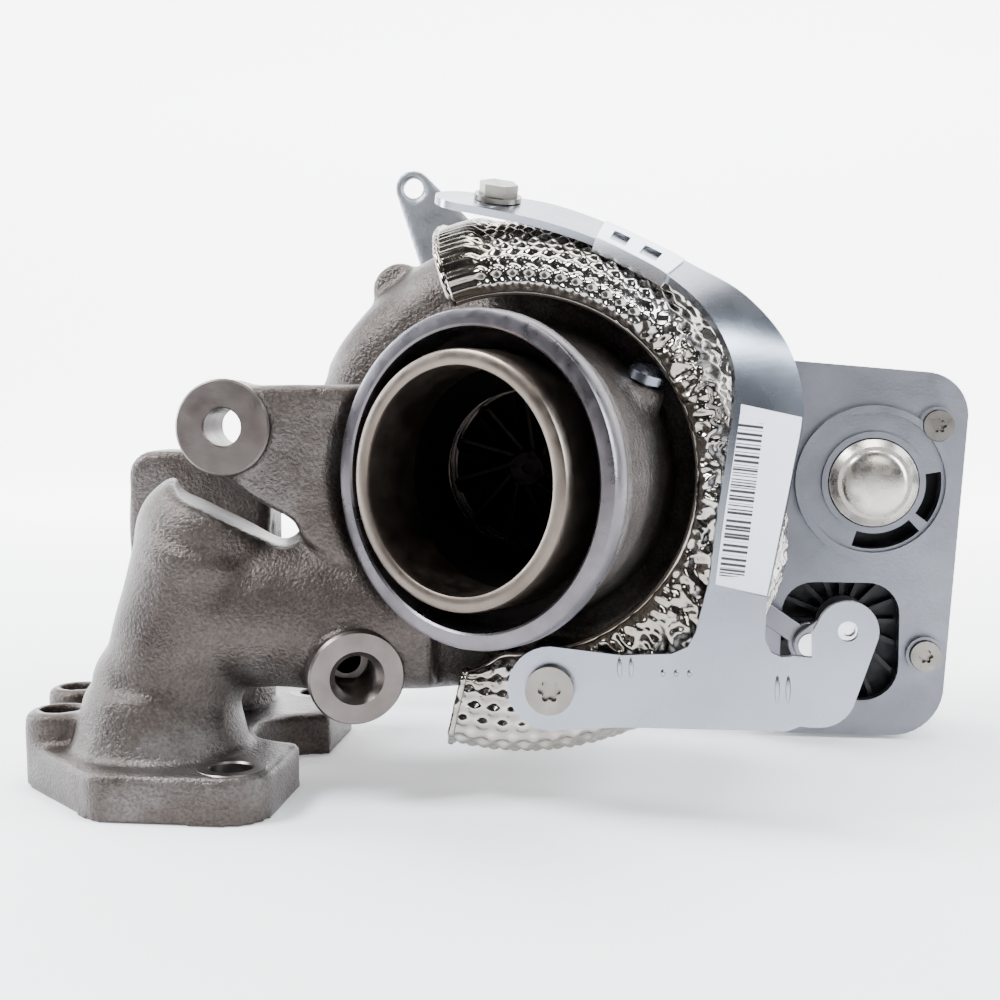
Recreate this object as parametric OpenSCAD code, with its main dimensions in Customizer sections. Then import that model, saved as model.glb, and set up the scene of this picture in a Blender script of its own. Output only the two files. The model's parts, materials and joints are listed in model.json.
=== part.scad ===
// Variable-geometry turbocharger with a cast-in exhaust manifold and an electric vane actuator.
// Frame: X to the right of the outlet, +Y along the rotor from turbine to compressor, +Z up.
// The manifold's gasket face is Z = 0, and the origin is the middle of the front inlet port.

/* [Turbine outlet] */
// Angle between the outlet pipe and the rotor axis
outlet_angle = 29.5; // [24:0.5:34]
// Bore of the outlet pipe, radius
outlet_r = 26.75; // [26:0.25:27.5]
// Outer radius of the V-band flange on the outlet
vband_r = 39.7; // [39:0.1:41]

/* [Rotor] */
// Height of the rotor axis above the manifold's gasket face
axis_z = 84; // [83:0.5:85]
// Tip radius of the turbine wheel
turbine_r = 22; // [21:0.25:22.5]
// Tip radius of the compressor wheel
compressor_r = 25; // [24:0.25:25.5]
// Journal radius of the shaft
shaft_r = 4.2; // [4:0.1:4.4]

/* [Vanes] */
// Number of guide vanes
vane_count = 11; // [10:1:11]
// Length of a vane, nose to tail
vane_chord = 14; // [12:0.5:14.5]

/* [Actuator] */
// Length of the actuator's crank and of the vane lever that copies it
crank_length = 12; // [11:0.5:12.5]

/* [Heat shield] */
// Sheet thickness of the heat shield
shield_t = 1; // [0.8:0.1:1.2]
// Radius of the shield's rear rim about the rotor axis
shield_r = 68; // [67.5:0.1:68.5]

/* [Hidden] */
$fn = 72;

clear = 0.04;   // running clearance on a radius
slip = 0.15;    // clearance where two parts only stand side by side
bite = 1;       // how far a cutting tool passes a face

// Manifold flange, measured from the rotor axis in X and from the outlet's bend in Y
port_x = -95;
port_front_y = 16;
port_rear_y = 72;
port_r = 13.5;
port_front_top = 28.33;  // ends of the two straight port bores
port_rear_top = 36;
flange_t = 12;
flange_boss_z = 20;
stud_hole_r = 5.5;
eye_x = -72.9;         // eye at the end of the arm
eye_y = 3.5;
eye_z = 95.9;
right_studs_x = -69;
right_front_stud_y = -5;
right_rear_stud_y = 88;
left_front_stud = [-123.5, 21];
left_rear_stud = [-130.5, 51];

// Stations along the rotor axis
nose_y = 44;
wall_y = 47.2;        // front of the nozzle's front wall
channel_y = 54;       // vane passage, front and rear
channel_end_y = 61;
carrier_end_y = 66;   // rear face of the vane carrier ring
joint_y = 74;         // face between turbine and bearing housings
bearing_y = 77;
bearing_end_y = 103;
thrust_y = 103.2;
backplate_y = 108;
wheel_y = 114;        // back of the compressor wheel
inlet_end_y = 168;

// Outlet, measured along its own axis from the bend
vband_face = 17.4;
pipe_face = 22.4;
pipe_wall = 3.55;
recess_r = 36;
neck_r = 33;
clamp_room_r = 44;    // room for the V-band clamp round the outlet's flange

// Scrolls
volute_centre_r = 51.5;
volute_y = 49;
volute_small_r = 7.5;
volute_void_r = 11.5;
volute_wall = 4.5;
cavity_r = 42;
lever_cavity_r = 46;
rear_flange_r = 57;

// Vane mechanism
vane_pivot_r = 30;
vane_shaft_r = 2;
vane_rest = 35;        // vane angle from the tangent at rest
lever_len = 8;
lever_head_r = 1.6;
notch_gap = 0.12;
notch_half = lever_head_r + notch_gap;
notch_run = 0.5;        // free length at the inner end of a notch
notch_flare = 1.3;      // how far the crank's notch opens over notch_mouth
notch_mouth = 4.5;
ring_inner_r = 36;
ring_outer_r = 43.2;
crank_x = 44;
crank_z = 68;
crank_r = norm([crank_x, crank_z - axis_z]);
crank_turn = atan2(crank_z - axis_z, crank_x);
inner_crank_len = 7.5;
drive_shaft_r = 3;

// Pin that keeps the shaft's bearing from turning, and the oil drain in front of it
bearing_pin_y = 99.6;
oil_drain_r = 6.2;

// Screw at the foot of the shield bracket
screw_x = 9.3;
screw_z = 31.5;

// Ear of the shield bracket, and the bolt at the strap's end
ear_x = 81;
ear_z = 47.3;
strap_bolt_station = 0.45;
strap_bolt_share = 0.68;

// Actuator
motor_x = 99.7;
motor_z = 78;
motor_r = 13.4;
output_x = 92;
output_z = 35;
output_r = 4;
crank_rest = 205;      // direction of both cranks at rest
first_module = 0.7;
first_pinion_teeth = 12;
first_wheel_teeth = 44;
second_module = 0.9;
second_pinion_teeth = 12;
second_wheel_teeth = 48;
gear_backlash = 0.12;
first_distance = first_module * (first_pinion_teeth + first_wheel_teeth) / 2;
second_distance = second_module * (second_pinion_teeth + second_wheel_teeth) / 2;
motor_to_output = norm([output_x - motor_x, output_z - motor_z]);
along = (pow(first_distance, 2) - pow(second_distance, 2) + pow(motor_to_output, 2))
    / (2 * motor_to_output);
aside = sqrt(pow(first_distance, 2) - pow(along, 2));
to_output = [output_x - motor_x, output_z - motor_z] / motor_to_output;
middle_x = motor_x + along * to_output[0] + aside * to_output[1];
middle_z = motor_z + along * to_output[1] - aside * to_output[0];
case_y = 95;
case_end_y = 128;
foot_x = 58;          // feet that carry the actuator

function foot_heights() = [60, 108];

// ---------- placing ----------

// Puts the frame's origin under the front inlet port.
module place() { translate([-port_x, -port_front_y, 0]) children(); }

// Local +Z runs along the rotor towards the compressor.
module on_axis(y = 0) { translate([0, y, axis_z]) rotate([-90, 0, 0]) children(); }

// Local +Z runs out of the turbine outlet.
module at_outlet(out = 0) {
    translate([0, 0, axis_z]) rotate([0, 0, -outlet_angle]) rotate([90, 0, 0])
        translate([0, 0, out]) children();
}

// A profile of (radius, Y) swept between two angles seen from the outlet side.
module sector(from, to) {
    on_axis() rotate([0, 0, -to]) rotate_extrude(angle = to - from) children();
}

// A drawing of (X, Z) given a thickness, from station y towards the compressor.
module plate(y, t) { translate([0, y + t, 0]) rotate([90, 0, 0]) linear_extrude(t) children(); }

// A rod along Y.
module rod(x, z, y, end, r) {
    translate([x, y, z]) rotate([-90, 0, 0]) cylinder(r = r, h = end - y);
}

// A rod along Y at a radius and an angle about the rotor.
module ring_rod(r, angle, y, end, rod_r) {
    rod(r * cos(angle), axis_z + r * sin(angle), y, end, rod_r);
}

module upright(x, y, z, end, r) { translate([x, y, z]) cylinder(r = r, h = end - z); }

module star(r) {
    union() {
        circle(r = r * 0.72);
        for (i = [0:5]) rotate(i * 60) translate([r * 0.72, 0]) circle(r = r * 0.27);
    }
}

// ---------- castings ----------

module flange_outline() {
    hull() {
        translate([right_studs_x, right_front_stud_y]) circle(r = 10.5, $fn = 32);
        translate([-97, right_front_stud_y]) circle(r = 10, $fn = 32);
        translate([left_front_stud[0] + 1, left_front_stud[1] - 2]) circle(r = 8.5, $fn = 32);
        translate(left_rear_stud) circle(r = 9, $fn = 32);
        translate([-103, 86]) circle(r = 11, $fn = 32);
        translate([right_studs_x, right_rear_stud_y]) circle(r = 10.5, $fn = 32);
    }
}

module manifold_outside() {
    difference() {
        linear_extrude(flange_t) flange_outline();
        translate([-58, 41, -bite]) cylinder(r = 17, h = flange_t + 2 * bite);
    }
    upright(left_front_stud[0], left_front_stud[1], 0.5, flange_boss_z, 9.3);
    upright(left_rear_stud[0], left_rear_stud[1], 0.5, flange_boss_z, 8.8);
    // front riser, flared at its foot and leaning in to a rounded head
    translate([-94, port_front_y, 1]) cylinder(r1 = 26, r2 = 19.2, h = 27);
    translate([-92.5, port_front_y + 1, 24]) rotate([0, 16, 0]) cylinder(r = 18.6, h = 42);
    translate([-81.5, port_front_y + 4, 66]) sphere(r = 19.5);
    // rear riser, the log that joins the two and the duct to the volute
    upright(-96, port_rear_y, 1, port_rear_top, 17.5);
    translate([-96, port_rear_y, port_rear_top]) sphere(r = 18.3);
    translate([-91, port_front_y, port_rear_top]) rotate([-90, 0, 0])
        cylinder(r = 17.2, h = port_rear_y - port_front_y - 2);
    translate([-88, port_front_y + 4, 48]) rotate([0, 90, 6]) cylinder(r = 21.5, h = 66);
    translate([-42, port_front_y + 12, 47]) rotate([0, 90, 26]) cylinder(r = 22, h = 34);
}

module manifold_inside() {
    upright(port_x, port_front_y, -bite, port_front_top, port_r);
    translate([port_x, port_front_y, port_front_top]) sphere(r = port_r + 0.2);
    translate([-94, port_front_y + 1, port_front_top - 2]) rotate([0, 18, 0]) cylinder(r = 12.4, h = 34);
    translate([-83.5, port_front_y + 2, 58.5]) sphere(r = 12.9);
    upright(port_x, port_rear_y, -bite, port_rear_top, port_r);
    translate([port_x, port_rear_y, port_rear_top]) sphere(r = port_r + 0.2);
    translate([-92, port_front_y + 2, port_rear_top]) rotate([-90, 0, 0])
        cylinder(r = 12.8, h = port_rear_y - port_front_y - 4);
    translate([-92, port_front_y + 3, 44]) rotate([0, 90, 8]) cylinder(r = port_r + 2, h = 62);
    translate([-34, port_front_y + 12, 44]) sphere(r = port_r + 2.3);
    translate([-36, port_front_y + 11, 44]) rotate([0, 90, 30]) cylinder(r = port_r, h = 34);
}

// Steps of a scroll whose section grows from small to large round the axis.
module scroll(inner_r, y, small, large, wall, first, turn, steps, lean = 1) {
    for (i = [0:steps - 1]) {
        section = small + (large - small) * (i + 0.5) / steps;
        start = first + turn * i / steps;
        end = first + turn * (i + 1) / steps;
        sector(min(start, end) - 0.2, max(start, end) + 0.2)
            translate([inner_r + section * lean, y]) circle(r = section + wall);
    }
}

module arm_and_lugs() {
    // arm out to the front eye
    plate(eye_y + 2.6, 15) hull() {
        translate([eye_x + 0.4, eye_z]) circle(r = 10.5, $fn = 32);
        translate([-38, 84]) circle(r = 22.5, $fn = 32);
    }
    rod(eye_x, eye_z, eye_y, eye_y + 14, 12);
    // lug at the top left and web behind the outlet neck
    plate(48, 9) hull() {
        translate([-36, 133]) circle(r = 7.4, $fn = 32);
        translate([-24, 112]) circle(r = 14, $fn = 32);
    }
    // sensor boss, turned a little to the right and down
    sensor_boss() translate([0, 0, -22]) cylinder(r = 12.2, h = 22);
    // bosses that carry the shield bracket and the stud
    rod(screw_x, screw_z, 9.65, 34, 8);
    stud_place() translate([0, 0, -16]) cylinder(r = 6, h = 16);
}

module sensor_boss() {
    translate([-39.5, 4.5, 33.5]) rotate([0, 0, 21]) rotate([97, 0, 0]) children();
}

module stud_place() {
    translate([0, 14, axis_z]) rotate([0, -36, 0]) translate([40, 0, 0]) rotate([0, 55, 0])
        rotate([12, 0, 0]) children();
}

// Slot between the arm and the head of the front riser.
module arm_slot() {
    translate([-71.5, 10, 75.2]) rotate([0, 0, 14]) translate([0, 40, 0]) rotate([90, 0, 0])
        linear_extrude(80) hull() {
            translate([-11.5, 6]) circle(r = 4, $fn = 32);
            translate([12, -6]) circle(r = 4, $fn = 32);
        }
}

module recirculation_flange() {
    plate(58, 15) hull() for (x = [-110, -84], z = [52, 80])
        translate([x, z]) circle(r = 8, $fn = 32);
    translate([-97, 60, 40]) cylinder(r = 12.5, h = 25);
}

module turbine_outside() {
    difference() {
        union() {
            manifold_outside();
            arm_and_lugs();
            recirculation_flange();
            // body round the wheel, rear flange and volute
            on_axis() rotate_extrude() polygon([
                [0, 2], [33, 2], [37, 12], [40, 30], [52, 38], [60, 44], [61, 58], [56, 66],
                [53, 68.5], [53, 69.5], [rear_flange_r - 1.2, 71], [rear_flange_r, 71.5],
                [rear_flange_r, joint_y], [0, joint_y]]);
            scroll(volute_centre_r - volute_void_r, volute_y, volute_small_r, volute_void_r,
                volute_wall, -110, -320, 10);
        }
        at_outlet(9) cylinder(r = clamp_room_r, h = 26);
        arm_slot();
    }
    // outlet neck, its V-band flange and the pipe inside it
    at_outlet() rotate_extrude() polygon([[0, -12], [neck_r, -12], [neck_r, 1], [37.6, 5], [37.6, 9.4],
        [vband_r, 11.9], [vband_r, vband_face], [outlet_r + pipe_wall, vband_face],
        [outlet_r + pipe_wall, pipe_face], [0, pipe_face]]);
}

module turbine_inside() {
    // pipe, recess round it and bend
    at_outlet(2) cylinder(r = outlet_r, h = 40);
    at_outlet(7) difference() {
        cylinder(r = recess_r, h = 30);
        translate([0, 0, -bite]) cylinder(r = outlet_r + pipe_wall, h = pipe_face - 7 + bite);
    }
    translate([0, 0, axis_z]) sphere(r = outlet_r + 1.2);
    on_axis(3) cylinder(r1 = outlet_r - 0.6, r2 = turbine_r - 0.4, h = 34);
    on_axis(36.9) cylinder(r = turbine_r - 0.4, h = 14);
    // pockets for the vane cartridge, and the vane drive
    on_axis(wall_y - 0.2) cylinder(r = cavity_r, h = 40);
    on_axis(carrier_end_y) cylinder(r = lever_cavity_r, h = 30);
    rod(crank_x, crank_z, carrier_end_y, joint_y + bite, 7);
    scroll(volute_centre_r - volute_void_r, volute_y, volute_small_r, volute_void_r, 0, -110, -320, 10);
    manifold_inside();
    // holes
    for (p = [[right_studs_x, right_front_stud_y], [right_studs_x, right_rear_stud_y],
              left_front_stud, left_rear_stud])
        upright(p[0], p[1], -bite, 30, stud_hole_r);
    rod(eye_x, eye_z, -8, 30, 4.9);
    sensor_boss() translate([0, 0, -13]) cylinder(r = 6, h = 14);
    sensor_boss() translate([0, 0, -30]) cylinder(r = 4, h = 31);
    rod(screw_x, screw_z, 8, 26, 3 + clear);
    stud_place() translate([0, 0, -12]) cylinder(r = 3 + clear, h = 13);
    rod(-97, 66, 61, 90, 11);
    translate([-97, 61, 36]) cylinder(r = 8.8, h = 28);
    for (x = [-112.5, -81.5]) rod(x, 66, 62, 90, 3.4);
}

module turbine_housing() {
    color([0.33, 0.29, 0.30]) difference() {
        turbine_outside();
        turbine_inside();
    }
}

module bearing_housing() {
    color([0.30, 0.30, 0.32]) difference() {
        union() {
            on_axis() rotate_extrude() polygon([
                [0, 69], [15, 69], [20, joint_y], [rear_flange_r, joint_y],
                [rear_flange_r, 76.5], [rear_flange_r - 1.2, 77], [53, 78.5], [53, 80], [26, 82],
                [26, 98], [34, 103], [40, 104], [40, backplate_y], [0, backplate_y]]);
            rod(crank_x, crank_z, joint_y, 83, 6.2);
            upright(0, 91, axis_z + 12, axis_z + 42, 11);
            upright(0, 91, axis_z - 46, axis_z - 12, 12);
            translate([-24, 79.5, axis_z - 46]) cube([48, 23, 7]);
            translate([-40, 91, axis_z + 8]) rotate([0, 90, 0]) cylinder(r = 9, h = 30);
        }
        on_axis(60) cylinder(r = 8.6, h = 60);
        on_axis(71) cylinder(r = 10.5, h = 4);
        on_axis(bearing_y) cylinder(r = 7 + clear, h = 40);
        on_axis(bearing_y + 3) cylinder(r = 12, h = 20);
        on_axis(thrust_y) cylinder(r = 20, h = 10);
        rod(crank_x, crank_z, 60, 90, 4.5 + clear / 2);
        // oil in at the top, oil out at the bottom, coolant at the side
        upright(0, 91, axis_z + 6, axis_z + 50, 2);
        upright(0, 91, axis_z + 28, axis_z + 50, 5.2);
        upright(0, 91, axis_z - 50, axis_z - 6, oil_drain_r);
        translate([-50, 91, axis_z + 8]) rotate([0, 90, 0]) cylinder(r = 5.2, h = 28);
        for (x = [-18, 18]) upright(x, 91, axis_z - 60, axis_z - 20, 3.3);
        // pin that keeps the bearing from turning
        upright(0, bearing_pin_y, axis_z - 20, axis_z, 1.5 + clear / 2);
        for (a = [45, 135, 225, 315]) ring_rod(36.5, a + 15, 98, backplate_y + bite, 2.05);
    }
}

module compressor_backplate() {
    color([0.70, 0.71, 0.73]) difference() {
        on_axis() rotate_extrude() polygon([
            [0, backplate_y], [53, backplate_y], [53, 111], [50, 111], [50, wheel_y - 0.8],
            [compressor_r + 7, wheel_y - 0.8], [compressor_r + 6, wheel_y - 0.6], [0, wheel_y - 0.6]]);
        on_axis(100) cylinder(r = 8.6, h = 30);
        on_axis(backplate_y - bite) cylinder(r = 12, h = 3.2);
        on_axis() rotate_extrude() translate([49.6, 111.6]) square([2, 1.9]);
        for (a = [45, 135, 225, 315]) ring_rod(36.5, a + 15, 100, 120, 2.3);
        for (a = [45, 135, 225, 315]) ring_rod(36.5, a + 15, 110, 120, 4.2);
    }
}

scroll_inner_r = 31;
scroll_y = 124;
scroll_small = 5;
scroll_large = 11.6;
scroll_wall = 3.4;
scroll_lean = 0.86;   // share of a section's radius by which its centre moves out
air_outlet_r = 13;

module air_outlet() {
    translate([0, scroll_y, axis_z - scroll_inner_r - scroll_large * scroll_lean])
        rotate([0, -90, 0]) children();
}

module compressor_housing() {
    color([0.74, 0.75, 0.77]) difference() {
        union() {
            scroll(scroll_inner_r, scroll_y, scroll_small, scroll_large, scroll_wall, -60, -330, 8,
                scroll_lean);
            on_axis() rotate_extrude() polygon([
                [0, backplate_y], [58, backplate_y], [58, 117], [50, 119], [40, 132], [30, 140], [29, 160],
                [30.5, 163], [30.5, 165], [28, inlet_end_y], [0, inlet_end_y]]);
            air_outlet() cylinder(r = scroll_large + scroll_wall, h = 46);
            air_outlet() translate([0, 0, 44]) cylinder(r = 16.4, h = 34);
            air_outlet() translate([0, 0, 72]) cylinder(r = 17.6, h = 4);
            // ear at the top left
            plate(106.5, 6) hull() {
                translate([-41.5, 169]) circle(r = 5.6, $fn = 32);
                translate([-20, 134]) circle(r = 15, $fn = 32);
            }
            // feet for the actuator
            for (z = foot_heights()) plate(112, 9) hull() {
                translate([foot_x, z]) circle(r = 4.9, $fn = 32);
                translate([46, z]) circle(r = 8, $fn = 32);
            }
        }
        scroll(scroll_inner_r, scroll_y, scroll_small, scroll_large, 0, -60, -330, 8, scroll_lean);
        air_outlet() cylinder(r = scroll_large - 0.2, h = 60);
        air_outlet() translate([0, 0, 44]) cylinder(r = air_outlet_r, h = 60);
        on_axis(100) cylinder(r = 53 + slip, h = 11.25);
        on_axis(105) cylinder(r = 50 + clear, h = 8.8);
        // wheel contour, diffuser and inlet
        on_axis() rotate_extrude() polygon([
            [0, 113], [48, 113], [48, wheel_y + 3.2], [compressor_r + 0.35, wheel_y + 3.2],
            [compressor_r - 2.2, wheel_y + 7.4], [19.4, wheel_y + 12.5], [18.9, wheel_y + 17],
            [18.9, 150], [24, 158], [24, inlet_end_y + 1], [0, inlet_end_y + 1]]);
        rod(-41.5, 169, 90, 130, 3.1);
        rod(-41.5, 169, 90, 107.5, 4.6);
        for (z = foot_heights()) rod(foot_x, z, 100, 130, 2.6);
        for (i = [0:5]) ring_rod(55.4, 20 + i * 60, 105, 116, 1.55);
    }
}

// ---------- joints between the housings ----------

module v_clamp() {
    color([0.62, 0.62, 0.63]) union() {
        difference() {
            on_axis() rotate_extrude() polygon([
                [53.6, 69], [55.2, 68], [59.6, 70.2], [59.6, 78.3], [55.2, 80.5], [53.6, 79.5],
                [rear_flange_r + 0.4, 77.3], [rear_flange_r + 0.4, 71.1]]);
            plate(60, 30) polygon([[-6, axis_z - 80], [6, axis_z - 80], [2.6, axis_z - 30],
                [-2.6, axis_z - 30]]);
        }
        for (s = [-1, 1]) translate([s > 0 ? 4.6 : -8.6, 69.6, axis_z - 70]) difference() {
            cube([4, 9.4, 13]);
            translate([-bite, 4.7, 4.5]) rotate([0, 90, 0]) cylinder(r = 2.6, h = 6);
        }
    }
}

module v_clamp_bolt() {
    color([0.72, 0.70, 0.62]) translate([0, 74.3, axis_z - 65.5]) rotate([0, 90, 0]) union() {
        translate([0, 0, -17]) cylinder(r = 2.5, h = 32);
        translate([0, 0, -13.6]) cylinder(r = 4.6, h = 4.85, $fn = 6);
        translate([0, 0, 8.75]) cylinder(r = 4.6, h = 4, $fn = 6);
    }
}

module screw(r, head_r, head_h, shank) {
    // head above local Z = 0, shank below it
    difference() {
        union() {
            cylinder(r = head_r, h = head_h);
            translate([0, 0, -shank]) cylinder(r = r, h = shank + 0.1);
        }
        translate([0, 0, head_h - 2]) linear_extrude(3) star(head_r * 0.48);
    }
}

module housing_screws() {
    color([0.55, 0.55, 0.57]) for (i = [0:5]) on_axis(backplate_y - 0.03)
        rotate([0, 0, -20 - i * 60]) translate([55.4, 0, 0]) rotate([180, 0, 0]) union() {
            cylinder(r = 4.6, h = 1.2);
            screw(1.5, 3.1, 3.6, 7);
        }
}

// ---------- vane cartridge ----------

module nozzle_front_wall() {
    color([0.45, 0.42, 0.40]) difference() {
        on_axis() rotate_extrude() polygon([
            [turbine_r - 0.3, wall_y], [cavity_r - slip, wall_y], [cavity_r - slip, wall_y + 2],
            [40, channel_y], [turbine_r + 0.4, channel_y], [turbine_r - 0.3, 50]]);
        for (i = [0:2]) ring_rod(38.4, 16.4 + i * 120, 50, 60, 1.0 + clear / 2);
    }
}

module nozzle_spacers() {
    color([0.55, 0.53, 0.50]) for (i = [0:2]) union() {
        ring_rod(38.4, 16.4 + i * 120, channel_y, channel_end_y, 1.6);
        ring_rod(38.4, 16.4 + i * 120, channel_y - 3, carrier_end_y - 0.5, 1.0);
    }
}

function vane_angle(i) = (i - 1) * 360 / vane_count;

// The ring's guides stand half way between two vanes.
function guide_angles() = [for (i = [1, 5, 8]) (i + 0.5) * 360 / vane_count];

module nozzle_ring() {
    color([0.48, 0.45, 0.43]) difference() {
        on_axis() rotate_extrude() polygon([
            [24.5, channel_end_y], [cavity_r - slip, channel_end_y],
            [cavity_r - slip, carrier_end_y - 0.3], [24.5, carrier_end_y - 0.3]]);
        for (i = [1:vane_count]) ring_rod(vane_pivot_r, vane_angle(i), 50, 80, vane_shaft_r + clear);
        for (i = [0:2]) ring_rod(38.4, 16.4 + i * 120, 50, 80, 1.0 + clear / 2);
        for (a = guide_angles()) ring_rod(33.2, a, 50, 80, 1.2 + clear / 2);
    }
}

module ring_guides() {
    color([0.60, 0.58, 0.55]) for (a = guide_angles()) union() {
        ring_rod(33.2, a, channel_end_y + 1, 70.4, 1.2);
        ring_rod(33.2, a, carrier_end_y - 0.25, 69.4, 2.7);
    }
}

// The crank's notch opens outwards, so that the crank clears its sides at both ends of the travel.
module crank_notch() {
    head = crank_r - inner_crank_len;
    wide = notch_half + notch_flare;
    polygon([[head - lever_head_r - notch_run, -notch_half], [head, -notch_half],
        [head + notch_mouth, -wide], [head + notch_mouth, wide], [head, notch_half],
        [head - lever_head_r - notch_run, notch_half]]);
}

module unison_ring() {
    color([0.52, 0.50, 0.48]) difference() {
        on_axis() rotate_extrude() translate([ring_inner_r, carrier_end_y + 0.4])
            square([ring_outer_r - ring_inner_r, 3]);
        for (i = [1:vane_count]) on_axis(60) rotate([0, 0, -vane_angle(i)])
            translate([33, -notch_half, 0])
                cube([vane_pivot_r + lever_len + lever_head_r + notch_run - 33, 2 * notch_half, 20]);
        on_axis(60) rotate([0, 0, -crank_turn]) linear_extrude(20) crank_notch();
    }
}

// A streamlined vane about its pivot, nose outwards.
module vane_outline() {
    hull() {
        translate([vane_chord * 0.42, 0]) circle(r = 1.2, $fn = 24);
        circle(r = 1.5, $fn = 24);
        translate([-vane_chord * 0.53, 0]) circle(r = 0.35, $fn = 24);
    }
}

module vane(i) {
    a = vane_angle(i);
    color([0.58, 0.55, 0.52]) union() {
        translate([vane_pivot_r * cos(a), 0, axis_z + vane_pivot_r * sin(a)]) {
            translate([0, channel_end_y - 0.1, 0]) rotate([90, 0, 0])
                linear_extrude(channel_end_y - channel_y - 0.2) rotate(a + 90 - vane_rest) vane_outline();
            rod(0, 0, channel_end_y - 0.2, 69, vane_shaft_r);
            plate(carrier_end_y + 0.2, 2.6) rotate(a) union() {
                circle(r = 3);
                translate([0, -0.8]) square([lever_len, 1.6]);
                translate([lever_len, 0]) circle(r = lever_head_r);
            }
        }
    }
}

module vane_drive_crank() {
    a = crank_turn + 180;
    color([0.55, 0.52, 0.50]) translate([crank_x, 0, crank_z]) union() {
        rod(0, 0, carrier_end_y + 0.6, 87.5, drive_shaft_r);
        plate(carrier_end_y + 0.6, 2.6) rotate(a) union() {
            circle(r = drive_shaft_r + 0.25);
            translate([0, -0.8]) square([inner_crank_len, 1.6]);
            translate([inner_crank_len, 0]) circle(r = lever_head_r);
        }
    }
}

module crank_bush() {
    color([0.50, 0.47, 0.42]) difference() {
        rod(crank_x, crank_z, 70.2, 83.6, 4.5);
        rod(crank_x, crank_z, 60, 90, drive_shaft_r + clear);
    }
}

// ---------- linkage ----------

module lever_plate(x, z, y, t, hub_r, bore_r, pin_r) {
    difference() {
        plate(y, t) translate([x, z]) rotate(crank_rest) hull() {
            circle(r = hub_r, $fn = 32);
            translate([crank_length, 0]) circle(r = 5, $fn = 32);
        }
        rod(x, z, y - bite, y + t + bite, bore_r);
        rod(x + crank_length * cos(crank_rest), z + crank_length * sin(crank_rest),
            y - bite, y + t + bite, pin_r);
    }
}

module linkage_pin(x, z) {
    px = x + crank_length * cos(crank_rest);
    pz = z + crank_length * sin(crank_rest);
    color([0.66, 0.66, 0.68]) union() {
        rod(px, pz, 84.2, 91.6, 2.5);
        rod(px, pz, 83.4, 84.25, 3.6);
        rod(px, pz, 87.25, 88.1, 3.8);
        rod(px, pz, 91.2, 91.9, 3.6);
    }
}

module vane_lever() {
    color([0.60, 0.60, 0.61]) lever_plate(crank_x, crank_z, 84.3, 2.9, 6.5,
        drive_shaft_r + clear / 2, 2.5 + clear / 2);
}

module lever_pin() { linkage_pin(crank_x, crank_z); }

module actuator_crank() {
    color([0.52, 0.52, 0.55]) lever_plate(output_x, output_z, 84.3, 2.9, 7.5,
        output_r + clear / 2, 2.5 + clear / 2);
}

module crank_pin() { linkage_pin(output_x, output_z); }

module link_rod() {
    dx = crank_length * cos(crank_rest);
    dz = crank_length * sin(crank_rest);
    color([0.58, 0.58, 0.60]) difference() {
        plate(88.2, 2.9) union() {
            translate([output_x + dx, output_z + dz]) circle(r = 6.2);
            translate([crank_x + dx, crank_z + dz]) circle(r = 6.2);
            translate([output_x + dx, output_z + dz])
                rotate(atan2(crank_z - output_z, crank_x - output_x)) translate([0, -3])
                    square([norm([crank_x - output_x, crank_z - output_z]), 6]);
        }
        rod(output_x + dx, output_z + dz, 80, 100, 2.5 + 0.06);
        rod(crank_x + dx, crank_z + dz, 80, 100, 2.5 + 0.06);
    }
}

// ---------- rotating assembly ----------

module blades(count, lean, thickness, inner, outer, y, depth) {
    for (i = [0:count - 1]) on_axis(y) rotate([0, 0, i * 360 / count]) rotate([lean, 0, 0])
        translate([inner, -thickness / 2, -depth]) cube([outer - inner, thickness, 3 * depth]);
}

module turbine_wheel_and_shaft() {
    color([0.50, 0.46, 0.42]) difference() {
        union() {
            on_axis() rotate_extrude() polygon([
                [0, nose_y], [4.4, nose_y], [4.9, nose_y + 0.6], [4.9, nose_y + 4], [5.6, 52],
                [7.5, 57], [11, 61], [turbine_r - 0.4, 63], [turbine_r - 0.4, 64.2], [9.5, 65], [8.5, 68],
                [8.5, 75.5], [6, 76], [shaft_r, 76.4], [shaft_r, 112], [3, 112.2], [3, 144.5], [0, 144.5]]);
            intersection() {
                blades(11, 14, 0.9, 3, turbine_r + 2, 56, 12);
                on_axis() rotate_extrude() polygon([
                    [3, nose_y + 3], [19.6, nose_y + 3], [turbine_r - 1, 50], [turbine_r - 0.6, 54.2],
                    [turbine_r - 0.4, 55], [turbine_r - 0.4, 63.5], [3, 63.5]]);
            }
        }
        on_axis() rotate_extrude() translate([7.2, 72.1]) square([3, 1.5]);
        on_axis(nose_y - bite) cylinder(r = 1.4, h = 3);
        for (a = [0, 90, 180, 270]) on_axis(nose_y - bite) rotate([0, 0, a + 20])
            translate([3, -0.9, 0]) cube([3, 1.8, 1.9]);
    }
}

module compressor_wheel() {
    color([0.80, 0.81, 0.82]) difference() {
        union() {
            on_axis() rotate_extrude() polygon([
                [0, wheel_y], [compressor_r, wheel_y], [compressor_r, wheel_y + 0.8], [14, wheel_y + 3.4],
                [8.5, wheel_y + 9], [6.4, wheel_y + 16], [5.8, 137], [0, 137]]);
            intersection() {
                blades(12, -16, 0.8, 3, compressor_r + 4, 124, 16);
                on_axis() rotate_extrude() polygon([
                    [3, wheel_y + 0.2], [compressor_r, wheel_y + 0.2], [compressor_r, wheel_y + 2.9],
                    [compressor_r - 2.6, wheel_y + 7.2], [18.9, wheel_y + 12.4], [18.4, wheel_y + 17],
                    [18.4, 136], [3, 136]]);
            }
        }
        on_axis(100) cylinder(r = 3 + clear / 2, h = 60);
    }
}

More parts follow.
